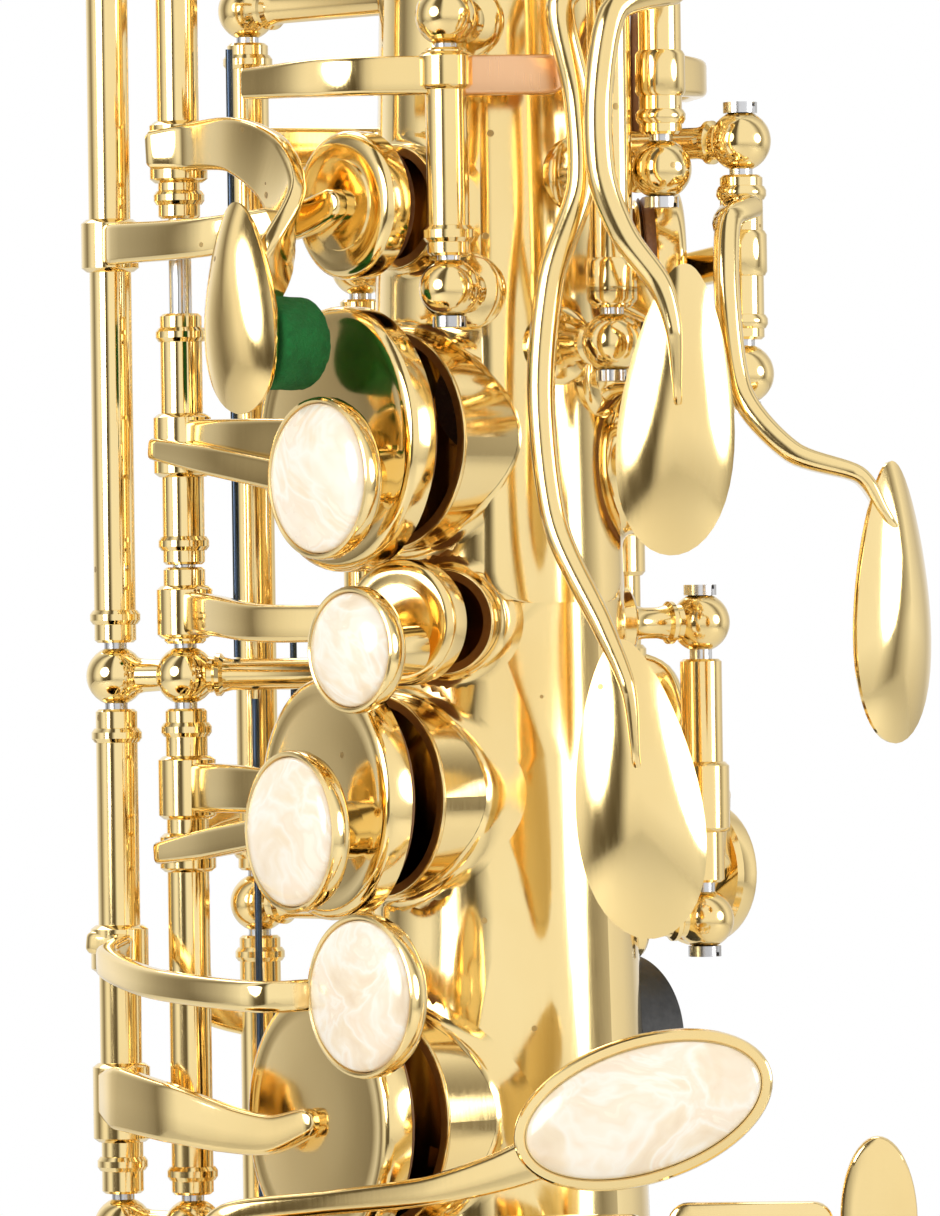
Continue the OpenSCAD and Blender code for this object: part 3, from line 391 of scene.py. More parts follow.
def pearlFinish():
    f = Finish("pearlFinish", Coat_Weight=0.7, Coat_Roughness=0.03, Roughness=0.22, Specular_IOR_Level=0.6)
    sway = f.node("ShaderNodeTexNoise", out=1, Vector=f.coords, Scale=70.0, Detail=3.0, Roughness=0.5,
                  Distortion=0.6)
    bent = f.node("ShaderNodeMix", {"data_type": "VECTOR"}, 1, i0=0.012, i4=f.coords, i5=sway)
    swirl = f.noise(75.0, 3.5, 0.5, at=bent, distort=2.2)
    fine = f.noise(260.0, 3.0, 0.5, at=bent, distort=1.0)
    body = f.ramp(swirl, [(0.28, (0.86, 0.70, 0.50)), (0.42, (0.93, 0.80, 0.60)), (0.5, (0.98, 0.92, 0.80)),
                          (0.58, (0.94, 0.80, 0.62)), (0.72, (0.98, 0.90, 0.74))])
    f.feed("Base Color", f.mix(f.span(fine, 0.45, 0.75, 0.0, 0.25), body, (1.0, 0.96, 0.9, 1)))
    f.feed("Roughness", f.span(swirl, 0.3, 0.7, 0.14, 0.3))
    f.bump(swirl, 0.05, 0.00005)
    return f


def leatherFinish():
    f = Finish("padLeather", Coat_Weight=0.1, Coat_Roughness=0.3)
    grain = f.noise(1700.0, 4.0, 0.6)
    wear = f.noise(120.0, 3.0)
    tone = f.mix(f.span(wear, 0.35, 0.7, 0.0, 1.0), (0.30, 0.13, 0.045, 1), (0.15, 0.055, 0.02, 1))
    f.feed("Base Color", f.mix(f.span(grain, 0.5, 0.75, 0.0, 0.5), tone, (0.42, 0.22, 0.09, 1)))
    f.feed("Roughness", f.span(grain, 0.3, 0.7, 0.42, 0.7))
    f.bump(grain, 0.35, 0.0002)
    return f


def feltFinish():
    f = Finish("greenFelt", Roughness=0.95, Sheen_Weight=0.2, Sheen_Roughness=0.5,
               Sheen_Tint=(0.2, 0.8, 0.3, 1))
    fuzz = f.noise(2400.0, 5.0, 0.7, distort=0.8)
    clump = f.noise(420.0, 3.0, 0.6)
    tone = f.mix(f.span(clump, 0.3, 0.7, 0.0, 1.0), (0.002, 0.10, 0.012, 1), (0.006, 0.17, 0.028, 1))
    f.feed("Base Color", f.mix(f.span(fuzz, 0.5, 0.75, 0.0, 0.6), tone, (0.014, 0.27, 0.06, 1)))
    f.feed("Roughness", f.span(fuzz, 0.3, 0.7, 0.85, 1.0))
    f.bump(fuzz + clump, 0.8, 0.0005)
    return f


def plainFinish(name, low, high, rough, scale, depth, coat=0.0, stretch=1.0):
    f = Finish(name, Coat_Weight=coat, Coat_Roughness=0.08)
    at = f.node("ShaderNodeMapping", Vector=f.coords, Scale=(1.0, stretch, 1.0))
    grain = f.noise(scale, 5.0, 0.6, at=at)
    f.feed("Base Color", f.mix(f.span(grain, 0.35, 0.68, 0.0, 1.0), (*low, 1), (*high, 1)))
    f.feed("Roughness", f.span(grain, 0.3, 0.7, rough * 0.8, rough * 1.2))
    f.bump(grain, 0.25, depth)
    return f


def roomWorld():
    # white round the horn, with soft darker bands where a room opens on to it
    world = bpy.data.worlds.new("room")
    bpy.context.scene.world = world
    world.use_nodes = True
    tree = world.node_tree
    tree.nodes.clear()
    out = tree.nodes.new("ShaderNodeOutputWorld")
    f = Tree(tree, "Generated")
    path = tree.nodes.new("ShaderNodeLightPath")
    eye = Sock(tree, path.outputs["Is Camera Ray"])
    mirror = Sock(tree, path.outputs["Is Glossy Ray"])
    clear = Sock(tree, path.outputs["Is Transmission Ray"])
    xyz = tree.nodes.new("ShaderNodeSeparateXYZ")
    tree.links.new(f.coords.out, xyz.inputs[0])
    x, y, z = (Sock(tree, xyz.outputs[k]) for k in range(3))
    bearing = x.maths("ARCTAN2", y * -1.0) / (2 * math.pi) + 0.5
    bands = f.ramp(bearing, roomBands)
    height = f.ramp(z * 0.5 + 0.5, roomHeights)
    seen = f.mix(1.0, bands, height, "MULTIPLY")
    plain = f.mix(eye + clear, seen, (1.0, 1.0, 1.0, 1))
    bright = f.node("ShaderNodeBackground", Color=plain, Strength=1.0)
    soft = f.node("ShaderNodeBackground", Color=(1.0, 0.99, 0.975, 1), Strength=roomLight["fill"])
    either = f.node("ShaderNodeMixShader", Fac=eye + mirror + clear, i1=soft, i2=bright)
    tree.links.new(either.out, out.inputs["Surface"])


# bearings run clockwise from behind the horn, as shares of a full turn
roomBands = [(0.0, (0.62, 0.60, 0.56)), (0.10, (0.95, 0.94, 0.92)), (0.22, (1, 1, 1)),
             (0.33, (0.22, 0.20, 0.17)),
             (0.40, (1, 1, 1)), (0.435, (1, 1, 1)), (0.475, (0.15, 0.13, 0.10)), (0.555, (0.10, 0.085, 0.06)),
             (0.59, (1, 1, 1)), (0.78, (1, 1, 1)), (0.84, (0.25, 0.23, 0.2)),
             (0.90, (1, 1, 1)), (1.0, (0.62, 0.60, 0.56))]
# heights run from straight below to straight above
roomHeights = [(0.0, (0.30, 0.29, 0.27)), (0.38, (0.75, 0.74, 0.72)), (0.47, (1, 1, 1)), (1.0, (1, 1, 1))]
roomLight = {"fill": 0.62, "lamps": [
    {"name": "keyLamp", "turn": -5.0, "up": 0.45, "far": 1.3, "size": 0.8, "watts": 9.0},
    {"name": "sideLamp", "turn": 105.0, "up": 0.35, "far": 1.4, "size": 0.7, "watts": 6.0},
    {"name": "topLamp", "turn": -120.0, "up": 1.2, "far": 0.8, "size": 0.9, "watts": 6.0}]}


def lightRoom():
    roomWorld()
    for lamp in roomLight["lamps"]:
        data = bpy.data.lights.new(lamp["name"], "AREA")
        data.shape, data.size, data.energy = "DISK", lamp["size"], lamp["watts"]
        thing = bpy.data.objects.new(lamp["name"], data)
        bpy.context.scene.collection.objects.link(thing)
        a = math.radians(lamp["turn"])
        thing.location = (lamp["far"] * math.sin(a), -lamp["far"] * math.cos(a), lamp["up"])
        aim = Vector((0, -0.03, 0.1)) - thing.location
        thing.rotation_euler = aim.to_track_quat("-Z", "Y").to_euler()


cameraLook = {"far": 0.9, "lens": 234.8, "lookX": -3.2, "depth": 90.0, "roll": 0.8}


def placeCamera():
    data = bpy.data.cameras.new("camera")
    data.sensor_width, data.lens, data.clip_start, data.clip_end = 36.0, cameraLook["lens"], 0.05, 20.0
    cam = bpy.data.objects.new("camera", data)
    bpy.context.scene.collection.objects.link(cam)
    look = toFrame @ beside(cameraLook["lookX"], 0, cameraLook["depth"])
    cam.location = look + nearWay * cameraLook["far"]
    r = math.radians(cameraLook["roll"])
    up = upWay * math.cos(r) + acrossWay * math.sin(r)
    right = up.cross(nearWay).normalized()
    m = Matrix((right, up, nearWay)).transposed()
    cam.rotation_euler = m.to_euler()
    bpy.context.scene.camera = cam
    bpy.context.scene.view_settings.view_transform = "Standard"


def layFloor():
    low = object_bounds()[0]
    bm = bmesh.new()
    bmesh.ops.create_grid(bm, x_segments=4, y_segments=4, size=1.6)
    mesh = bpy.data.meshes.new("paleFloor")
    bm.to_mesh(mesh)
    bm.free()
    floor = bpy.data.objects.new("paleFloor", mesh)
    bpy.context.scene.collection.objects.link(floor)
    floor.location = (0, 0, low.z - 0.002)
    paint = plainFinish("floorPaint", (0.82, 0.82, 0.81), (0.86, 0.86, 0.85), 0.6, 40.0, 0.0002)
    mesh.materials.append(paint.mat)


placeCamera()
lightRoom()
layFloor()
print("camera, room and floor ready")

brass = brassFinish("lacqueredBrass", brassLook)
bare = brassFinish("bareBrass", {**brassLook, "colour": (0.93, 0.58, 0.33), "warm": (0.86, 0.47, 0.24),
                                 "rough": (0.2, 0.34), "coat": 0.0}, 1.0)
steel = steelFinish("turnedSteel", (0.74, 0.74, 0.75), 0.2)
blued = steelFinish("bluedSteel", (0.06, 0.085, 0.13), 0.22)
pearl = pearlFinish()
leather = leatherFinish()
felt = feltFinish()
finishes = {"lacquered_brass": brass, "steel": steel, "spring_steel": blued, "pearl": pearl, "felt": felt,
            "ebonite": plainFinish("ebonite", (0.012, 0.012, 0.014), (0.022, 0.022, 0.024), 0.16, 300.0,
                                   0.00002, 0.4),
            "cork": plainFinish("corkGrain", (0.48, 0.27, 0.12), (0.7, 0.47, 0.26), 0.8, 900.0, 0.0003),
            "cane": plainFinish("cane", (0.72, 0.52, 0.22), (0.86, 0.68, 0.36), 0.5, 1500.0, 0.0001, 0.0, 0.05),
            "black_plastic": plainFinish("blackPlastic", (0.02, 0.02, 0.02), (0.04, 0.04, 0.04), 0.4, 900.0,
                                         0.0001)}
slots = {part["node"]: part["material_slot"] for part in frame["record"]["subparts"]}
for name, node in nodes.items():
    node.data.materials.clear()
    node.data.materials.append(finishes[slots[name]].mat)
print("finishes on", len(nodes), "nodes")

# hinge lines round the horn
hinge = {"upper": around(-57, 36, 0), "far": around(-60, 44.5, 0), "sideE": around(-92, 38, 0),
         "sideC": around(-110, 31, 0), "sideBb": around(-128, 31, 0), "lower": around(-16, 36, 0),
         "bar": beside(-5, 22.4, 0), "gSharp": around(-24, 34, 0), "lowCs": beside(-12.4, 25, 0),
         "lowB": beside(-4.2, 28, 0), "lowBb": beside(4.2, 29, 0), "palmEb": beside(27.6, 18, 0),
         "palmF": beside(18.7, 20, 0), "palmD": beside(13, 22, 0), "thumb": around(152, 25, 0),
         "octave": around(180, 22, 0), "lowEb": around(-112, 38, 0), "lowC": around(-94, 41, 0)}
# tone holes as turn, depth and cup radius
holes = {"c": (-4, 45, 8.3), "b": (-6, 71, 14.8), "bis": (19, 91.5, 7), "a": (-10, 111, 13.6),
         "g": (-10, 147, 15), "gSharp": (-62, 182, 13), "fSharp": (-60, 214, 15), "f": (-60, 250, 16.5),
         "e": (-60, 290, 17.5), "d": (-60, 333, 19), "lowEb": (-158, 385, 18), "lowC": (-50, 434, 21),
         "highF": (128, 31, 9.6), "highEb": (134, 52, 9.5), "highD": (132, 74, 9.5), "highE": (-136, 36, 9),
         "sideC": (-140, 66, 9.5), "sideBb": (-142, 103, 10)}
bellHoles = {"lowCs": (113, 425, 20), "lowB": (-124, 362, 23), "lowBb": (-124, 304, 24)}
bellLine = [(0, 480), (1.2, 440), (2.6, 400), (4.6, 360), (7.4, 320), (11.2, 282), (15.6, 252), (20.6, 230),
            (25.6, 217), (29.5, 211.2), (30.5, 210)]


def at(h, d, across=0.0, out=0.0):
    return Vector((hinge[h].x, hinge[h].y, -d)) + acrossWay * across + nearWay * out


def bellOuter(d):
    for (g0, d0), (g1, d1) in zip(bellLine, bellLine[1:]):
        if d1 <= d <= d0:
            return horn["bellR"] + g0 + (g1 - g0) * (d0 - d) / (d0 - d1)
    return horn["bellR"]


def bellSeat(hole):
    r = bellOuter(hole[1]) + horn["chimney"] + horn["padGap"]
    return Matrix.Translation((0, -horn["bellGap"], 0)) @ facing(hole[0], r, hole[1])


def strapEnd(hole):
    return around(hole[0], strapR(hole[1]), hole[1])


def padIn(name, body, hole, turned=None, place=None):
    m = Maker(turned)
    r, h = hole[2], horn["padHigh"]
    holeR = r * 0.82
    m.lathe([(0.02, 0.05), (r * 0.4, 0.05), (holeR - 1.4, 0.0), (holeR - 0.9, 0.1), (holeR + 0.1, 0.1),
             (holeR + 0.5, 0.02), (r - 1.5, 0.2), (r - 1.12, 0.55), (r - 0.98, 1.1), (r - 0.97, h), (0.02, h)],
            place or seat(hole), 56)
    m.done(name, body, leather)


def pearlOn(name, body, node, place, r, turned=None):
    m = Maker(turned)
    e = r - 0.74
    m.lathe([(e, 1.63), (e, 2.75), (e - 0.08, 3.1), (e - 0.35, 3.42), (e - 0.9, 3.72), (e * 0.78, 4.12),
             (e * 0.6, 4.48), (e * 0.4, 4.76), (e * 0.2, 4.94), (0.02, 5.0)], place, 56)
    m.done(name, body, pearl, (node,), 60)


def pearlArm(m, start, place, wide, under=-0.9):
    end = place @ Vector((-2.5, 0, under))
    lip = place @ Vector((-horn["pearlR"] + 0.6, 0, under - 0.5))
    m.strap([start, start.lerp(lip, 0.4) + nearWay * 0.8, lip, end],
            [wide * share for share in (0.72, 0.95, 1.0, 1.15)], 1.9)


# keys of the two stacks
stackKeys = {
    "b": {"node": "b_key", "body": "b_stack", "hinge": "upper", "run": (56, 84.6), "arm": 71, "sign": -1,
          "via": [(-40, 29), (-22, 24.5)], "wide": (6, 5.4, 4.6), "pearl": (9, 27, 75.5, -4),
          "pearlNode": "b_pearl", "pearlArm": 71.4},
    "a": {"node": "a_key", "body": "a_stack", "hinge": "upper", "run": (101, 156.4), "arm": 110, "sign": -1,
          "via": [(-40, 29), (-22, 24.5)], "wide": (6, 5.4, 4.6), "pearl": (2, 28.5, 114.4, -8),
          "pearlNode": "a_pearl", "pearlArm": 117.4},
    "fSharp": {"node": "fs_key", "body": "f_sharp_stack", "hinge": "lower", "run": (205.8, 227.2), "arm": 214,
               "sign": 1, "via": [(-28, 33), (-44, 30)], "wide": (7, 6.4, 5.6)},
    "f": {"node": "f_key", "body": "f_stack", "hinge": "lower", "run": (234.8, 266.2), "arm": 250, "sign": 1,
          "via": [(-28, 33), (-44, 30)], "wide": (7, 6.4, 5.6), "stem": 5, "pearlNode": "f_pearl"},
    "e": {"node": "e_key", "body": "e_stack", "hinge": "lower", "run": (273.8, 308), "arm": 290, "sign": 1,
          "via": [(-28, 33), (-44, 30)], "wide": (7, 6.4, 5.6), "stem": 5, "pearlNode": "e_pearl"},
    "d": {"node": "d_key", "body": "d_stack", "hinge": "lower", "run": (308.4, 352.2), "arm": 333, "sign": 1,
          "via": [(-28, 36.5), (-44, 33.5)], "wide": (7, 6.4, 5.6), "stem": 5, "pearlNode": "d_pearl"}}


def makeStackKey(name, key):
    hole = holes[name]
    turned = swing(hinge[key["hinge"]], key["sign"] * horn["open"])
    m = Maker(turned)
    arm, (top, low) = key["arm"], key["run"]
    collars = [(arm, key["wide"][0] + 1.2, 0.9), (top + 2.4, 1.6, 0.5), (low - 2.4, 1.6, 0.5)]
    if abs(key.get("pearlArm", arm) - arm) > 6:
        collars.append((key["pearlArm"], 4.4, 0.8))
    m.tube(hinge[key["hinge"]], top, low, collars)
    (t0, r0), (t1, r1) = key["via"]
    start = at(key["hinge"], arm)
    first = around(t0, r0, arm)
    m.strap([start + (first - start) * -0.28, start + (first - start) * 0.2, first,
             around(t1, r1, (arm + hole[1]) / 2), strapEnd(hole)], key["wide"], horn["strap"])
    m.cup(hole)
    if "pearl" in key:
        turn, r, d, look = key["pearl"]
        place = placed(around(turn, r, d), look)
        m.holder(place, horn["pearlR"])
        pearlArm(m, at(key["hinge"], key["pearlArm"], -2.9, 1.5), place, 3.5)
        pearlOn(name + "Pearl", key["body"], key["pearlNode"], place, horn["pearlR"], turned)
    if "stem" in key:
        place = placed(around(hole[0], back(hole[1]) + 4, hole[1]), hole[0])
        m.holder(place, horn["pearlR"], 3.2, key["stem"])
        pearlOn(name + "Pearl", key["body"], key["pearlNode"], place, horn["pearlR"], turned)
    m.done(name + "Key", key["body"], brass, (key["node"],))
    padIn(name + "Pad", key["body"], hole, turned)


for name, key in stackKeys.items():
    makeStackKey(name, key)


def makeBisKey():
    hole = holes["bis"]
    turned = swing(hinge["upper"], -horn["open"])
    m = Maker(turned)
    m.tube(hinge["upper"], 84.9, 93.6, [(90, 6, 0.8)])
    place = placed(around(20, 29.5, 94.4), 0)
    m.strap([at("upper", 90), around(-40, 31, 90.5), around(-20, 27.5, 91.4),
             around(hole[0] - 6, back(hole[1]) + 1.6, hole[1])], (5, 4.4, 4), horn["strap"])
    m.cup(hole)
    m.holder(place, 7.0, 2.6, 6.5)
    m.done("bisKey", "bis_stack", brass, ("bis_key",))
    pearlOn("bisPearl", "bis_stack", "bis_pearl", place, 7.0, turned)
    padIn("bisPad", "bis_stack", hole, turned)


def makeGKey():
    hole = holes["g"]
    turned = swing(hinge["far"], -horn["open"])
    m = Maker(turned)
    m.tube(hinge["far"], 101, 156.4, [(128.4, 5.4, 0.9), (146, 9, 0.9), (104, 1.6, 0.5), (153, 1.6, 0.5)])
    place = placed(around(26, 34, 132), -2)
    lip = place @ Vector((-8.3, 0, -0.4))
    m.strap([at("far", 127.6, -2.8, 1.2), at("far", 128.2, 1.0, 3.6), around(-44, 43.6, 129.4),
             around(-22, 40.2, 131.2), around(4, 37.6, 132.2), lip, place @ Vector((-2, 0, -1.0))],
            (2.6, 3.2, 3.4, 3.4, 3.5, 4.0), 2.2)
    m.strap([at("far", 144.8, -1.5, 1.5), around(-52, 43, 145.2), around(-40, 36.5, 146.4),
             around(-30, 30.4, 148), around(-20, 27.0, 148.4), strapEnd(hole)],
            (5.2, 7.2, 6.6, 5.2, 4.4, 3.4), horn["strap"])
    m.cup(hole)
    m.holder(place, horn["pearlR"], 3.2, 2.0)
    m.done("gKey", "g_stack", brass, ("g_key",))
    pearlOn("gPearl", "g_stack", "g_pearl", place, horn["pearlR"], turned)
    padIn("gPad", "g_stack", hole, turned)


def makeUpperC():
    hole = holes["c"]
    turned = swing(hinge["far"], -horn["open"] * 0.8)
    m = Maker(turned)
    m.tube(hinge["far"], 15.8, 93.4, [(48, 6, 0.9), (18, 1.6, 0.5), (90.5, 1.6, 0.5)])
    m.strap([at("far", 48), around(-53, 42, 48), around(-33, 32, 48), around(-16, 23.5, 46.5), strapEnd(hole)],
            (5, 4.6, 4.2, 3.6), horn["strap"])
    m.cup(hole)
    m.done("cKey", "upper_c", brass, ("upper_c_key",))
    padIn("cPad", "upper_c", hole, turned)


makeBisKey()
makeGKey()
makeUpperC()

frontF = {"long": 23.5, "wide": 11.5, "high": 3.4, "felt": 5.3, "feltHigh": 6.6}


def makeFrontF():
    m = Maker()
    m.tube(hinge["upper"], 15.8, 45.2, [(37.6, 7, 0.9), (18.2, 1.6, 0.5), (42.8, 1.6, 0.5)])
    m.strap([at("upper", 37.4, -2.9, 1.6), at("upper", 37.2, 1.5, 3.8), beside(-29, 9, 37.6),
             beside(-24.6, 15, 40.6), beside(-22.6, 19.2, 45.4), beside(-24.0, 21.6, 50.5),
             beside(-26.2, 22.6, 55)], (4.4, 5.4, 6.2, 7.6, 8.2, 7.6, 5.5), 2.2)
    m.touch(frontF["long"], frontF["wide"], frontF["high"], placed(beside(-27.5, 23, 56.5), -8, 2))
    m.done("frontFKey", "front_f_touch", brass, ("front_f_key",))
    place = placed(beside(-27.5, 23, 60.4), -8) @ Matrix.Translation((1.5, 0, -frontF["feltHigh"] - 0.25))
    m = Maker()
    r, h, n = frontF["felt"], frontF["feltHigh"], 72
    shares = (0.1, 2, 4, 6, 7.5, 8.5)
    rings = []
    for radius, z in ([(r * k / 9, 0.0) for k in shares] + [(r, 0.5 + (h - 1.0) * k / 7) for k in range(8)]
                      + [(r * k / 9, h) for k in shares[::-1]]):
        ring = []
        for k in range(n):
            a = 2 * math.pi * k / n
            p = Vector((radius * math.cos(a), radius * math.sin(a), z))
            fuzz = noise.noise(p * 3.1) * 0.14 + noise.noise(p * 8.0) * 0.1
            if radius > r * 0.9:
                p += Vector((math.cos(a), math.sin(a), 0)) * (fuzz - 0.15)
            lift = fuzz if 0.3 < z < h - 0.3 else abs(fuzz) * (0.8 if z < 1 else -0.8)
            p.z = min(h - 0.02, max(0.02, p.z + lift))
            ring.append(place @ p)
        rings.append(ring)
    m.rows(rings)
    m.done("frontFFelt", "front_f_touch", felt, ("front_f_felt",), 80)
    m = Maker()
    m.tube(hinge["bar"], 28, 51, [(30.4, 4.4, 0.7), (48.6, 1.8, 0.5)])
    m.strap([beside(-27, 12, 31), beside(-21, 18.6, 31), beside(-15, 22.0, 31), beside(-4, 22.1, 31),
             beside(4, 21.8, 31)], (3.4, 4.2, 4.3, 4.3), 2.6, edge=0.2)
    m.done("frontFBar", "front_f_link", brass, ("front_f_link",))
    m = Maker()
    m.strap([beside(-3.2, 22.2, 31.05), beside(1.4, 22.1, 31.05), beside(6.2, 21.6, 31.05)], (4.36, 4.36),
            2.66, edge=0.2)
    m.done("frontFBarEnd", "front_f_link", bare)


makeFrontF()

palmKeys = {
    "F": {"node": "palm_f_key", "body": "palm_f", "hinge": "palmF", "hole": "highF", "run": (14.8, 37.8), "arm": 31,
          "via": [around(104, 25.6, 31)], "thick": (3.2, 3.2, 3.2, 2.6, 1.0),
          "wide": (4.6, 4.4, 4.0, 3.9, 4.4, 5.6, 6.8, 7.6, 6.0),
          "path": [(19.0, 24.6, 22), (19, 29, 22.6), (13.4, 34.8, 25), (11.6, 35.3, 34), (11.8, 35.2, 43),
                   (14.2, 34.8, 49.6), (18.0, 34.2, 55), (19.4, 33.9, 60), (19.7, 33.6, 66)],
          "touch": (19.7, 32, 68.6, 43, -4), "size": (32, 12.5, 3.6)},
    "D": {"node": "palm_d_key", "body": "palm_d", "hinge": "palmD", "hole": "highD", "run": (9.8, 57), "arm": 54,
          "via": [around(90, 23.8, 56.6), around(98, 23.8, 57.2), around(108, 24, 64), around(120, 24, 70)],
          "thick": (3.2, 3.2, 3.2, 2.6, 1.0), "wide": (4.6, 4.2, 3.6, 3.4, 3.5, 3.8, 4.6, 6.2, 7.8, 6.0),
          "path": [(11.0, 25.6, 20), (7.6, 27.4, 24), (9.4, 27.8, 34), (9.6, 28, 44), (6.2, 29.2, 54),
                   (4.9, 30.2, 67), (6.3, 31.4, 81), (11.2, 33.0, 92), (13.9, 33.4, 99), (14.6, 33.6, 106)],
          "touch": (14.7, 32.5, 110, 42, 6), "size": (33, 13.5, 3.6)},
    "Eb": {"node": "palm_eb_key", "body": "palm_eb", "hinge": "palmEb", "hole": "highEb", "run": (42.3, 60.6),
           "arm": 51, "via": [around(114, 27.5, 51.4)], "thick": (2.8, 2.8, 2.4, 1.2),
           "wide": (4.8, 4.8, 4.6, 5.0, 6.6, 7.8, 6.6),
           "path": [(27.6, 21, 46), (25.8, 25, 48.4), (25.6, 27.6, 57), (27.0, 28.8, 67), (32.4, 29.8, 73.4),
                    (39.6, 30.2, 76), (42.2, 30.4, 80)],
           "touch": (42.5, 30, 90, 90, 0), "size": (31, 13, 3.4)}}


def makePalmKey(name, key):
    hole = holes[key["hole"]]
    m = Maker()
    top, low = key["run"]
    m.tube(hinge[key["hinge"]], top, low, [(top + 2, 1.5, 0.4), (key["arm"], 5, 0.4), (low - 2, 1.5, 0.4)])
    m.strap([at(key["hinge"], key["arm"])] + key["via"] + [strapEnd(hole)], (5, 4.2, 4), horn["strap"])
    m.cup(hole)
    m.strap([beside(*p) for p in key["path"]], key["wide"], key["thick"], nearWay, edge=0.42, steps=9)
    x, y, d, turn, tilt = key["touch"]
    m.touch(*key["size"], placed(beside(x, y, d), turn, tilt), 0.3, 2.0)
    m.done("palm" + name + "Key", key["body"], brass, (key["node"],))
    padIn("palm" + name + "Pad", key["body"], hole)


for name, key in palmKeys.items():
    makePalmKey(name, key)

gSharp = {"at": (14.9, 34, 144.9), "turn": 40, "tilt": 17, "wide": 14.6, "high": 8.0, "pearlWide": 13.2,
          "pearlHigh": 6.6}


def makeGSharp():
    place = placed(beside(*gSharp["at"]), gSharp["turn"], gSharp["tilt"])
    m = Maker()
    m.tube(hinge["gSharp"], 169.8, 184.2, [(176, 8, 0.9)])
    m.strap([at("gSharp", 177.4), beside(-33, 20, 171), beside(-33.6, 25.4, 165), beside(-33.0, 29.4, 159),
             beside(-30, 31.6, 156), beside(-20, 33.6, 154.8), beside(-9, 34.8, 153.6), beside(-1, 35.0, 151.6),
             beside(6, 34.6, 149)], (6.4, 5.6, 4.4, 3.4, 2.8, 2.6, 3.2, 4.2, 5.4), 2.1)
    rings = []
    for inset, z in ((2.2, 0.0), (0.5, 0.0), (0.06, 0.35), (0.0, 0.8), (0.0, 2.9), (0.12, 3.25), (0.3, 3.38),
                     (1.08, 3.4), (1.22, 3.3), (1.28, 3.05), (1.3, 2.55), (3.0, 2.5)):
        rings.append([place @ Vector((x, y, z))
                      for x, y in ovalLine(gSharp["wide"] - inset, gSharp["high"] - inset, 72)])
    m.rows(rings)
    m.done("gSharpLever", "g_sharp_touch", brass, ("gs_lever",))
    m = Maker()
    m.plate(ovalLine(gSharp["pearlWide"], gSharp["pearlHigh"], 72),
            [(2.62, 1.0), (3.35, 1.0), (3.6, 0.985), (3.85, 0.94), (4.15, 0.86), (4.5, 0.74), (4.85, 0.58),
             (5.12, 0.4), (5.3, 0.2), (5.36, 0.01)], place)
    m.done("gSharpPearl", "g_sharp_touch", pearl, ("gs_pearl",), 60)
    hole = holes["gSharp"]
    m = Maker()
    m.tube(hinge["lower"], 198.2, 205.4, [(201.6, 5, 0.8)])
    m.strap([at("lower", 201.6), around(-26, 30.5, 202), around(-38, 28, 199.6), around(-50, 25.8, 192),
             strapEnd(hole)], (5, 5, 5), horn["strap"])
    m.cup(hole)
    m.done("gSharpKey", "g_sharp_cup", brass, ("gs_key",))
    padIn("gSharpPad", "g_sharp_cup", hole)


makeGSharp()
print("stack, front F, palm keys and G sharp made")

# bell keys, whose touches make the pinky table; a step is where a tube bows round the next key
bellKeys = {
    "lowCs": {"node": "low_cs_key", "body": "low_cs", "runs": [(168.3, 400.2), (407.8, 440.2)], "open": 0,
              "arm": 425, "via": [(10, -46, -425), (30, -57, -425)], "step": (396, 412, -1), "from": 176,
              "lift": [(-9, 33.6, 176), (2, 34.8, 170), (5, 34.8, 165)], "liftWide": (5.4, 6), "liftThick": 2.2},
    "lowB": {"node": "low_b_key", "body": "low_b", "runs": [(173.8, 341.2), (348.8, 373.2)], "open": -4,
             "arm": 362, "via": [(8, -47, -362), (-20, -54, -362)], "step": (337, 353, 1), "from": 182,
             "lift": [(1, 35.2, 182), (22, 35.2, 181), (27, 35.2, 168)], "liftWide": (3, 3), "liftThick": 2.0},
    "lowBb": {"node": "low_bb_key", "body": "low_bb", "runs": [(180.8, 281.2), (288.8, 316.2)], "open": -4,
              "arm": 302, "via": [(10, -46, -304), (-23.3, -50, -304)], "step": (277, 293, 1), "from": 192,
              "lift": [(14, 35, 192), (38, 35.2, 190), (40.8, 35.2, 160)], "liftWide": (5, 5), "liftThick": 2.0}}


def roundedLine(w, h, r, n=6):
    line = []
    for k, (sx, sy) in enumerate(((1, 1), (-1, 1), (-1, -1), (1, -1))):
        for i in range(n + 1):
            a = math.pi / 2 * (k + i / n)
            line.append((sx * (w / 2 - r) + r * math.cos(a), sy * (h / 2 - r) + r * math.sin(a)))
    return line


def slab(m, outline, high, place, soft=0.5):
    # a flat touch with an eased edge and a slightly crowned top
    m.plate(outline, [(0, 0.97), (0.15, 0.995), (high - soft, 1.0), (high - soft * 0.4, 0.985),
                      (high - soft * 0.12, 0.96), (high, 0.9), (high + 0.05, 0.6), (high + 0.08, 0.05)], place)


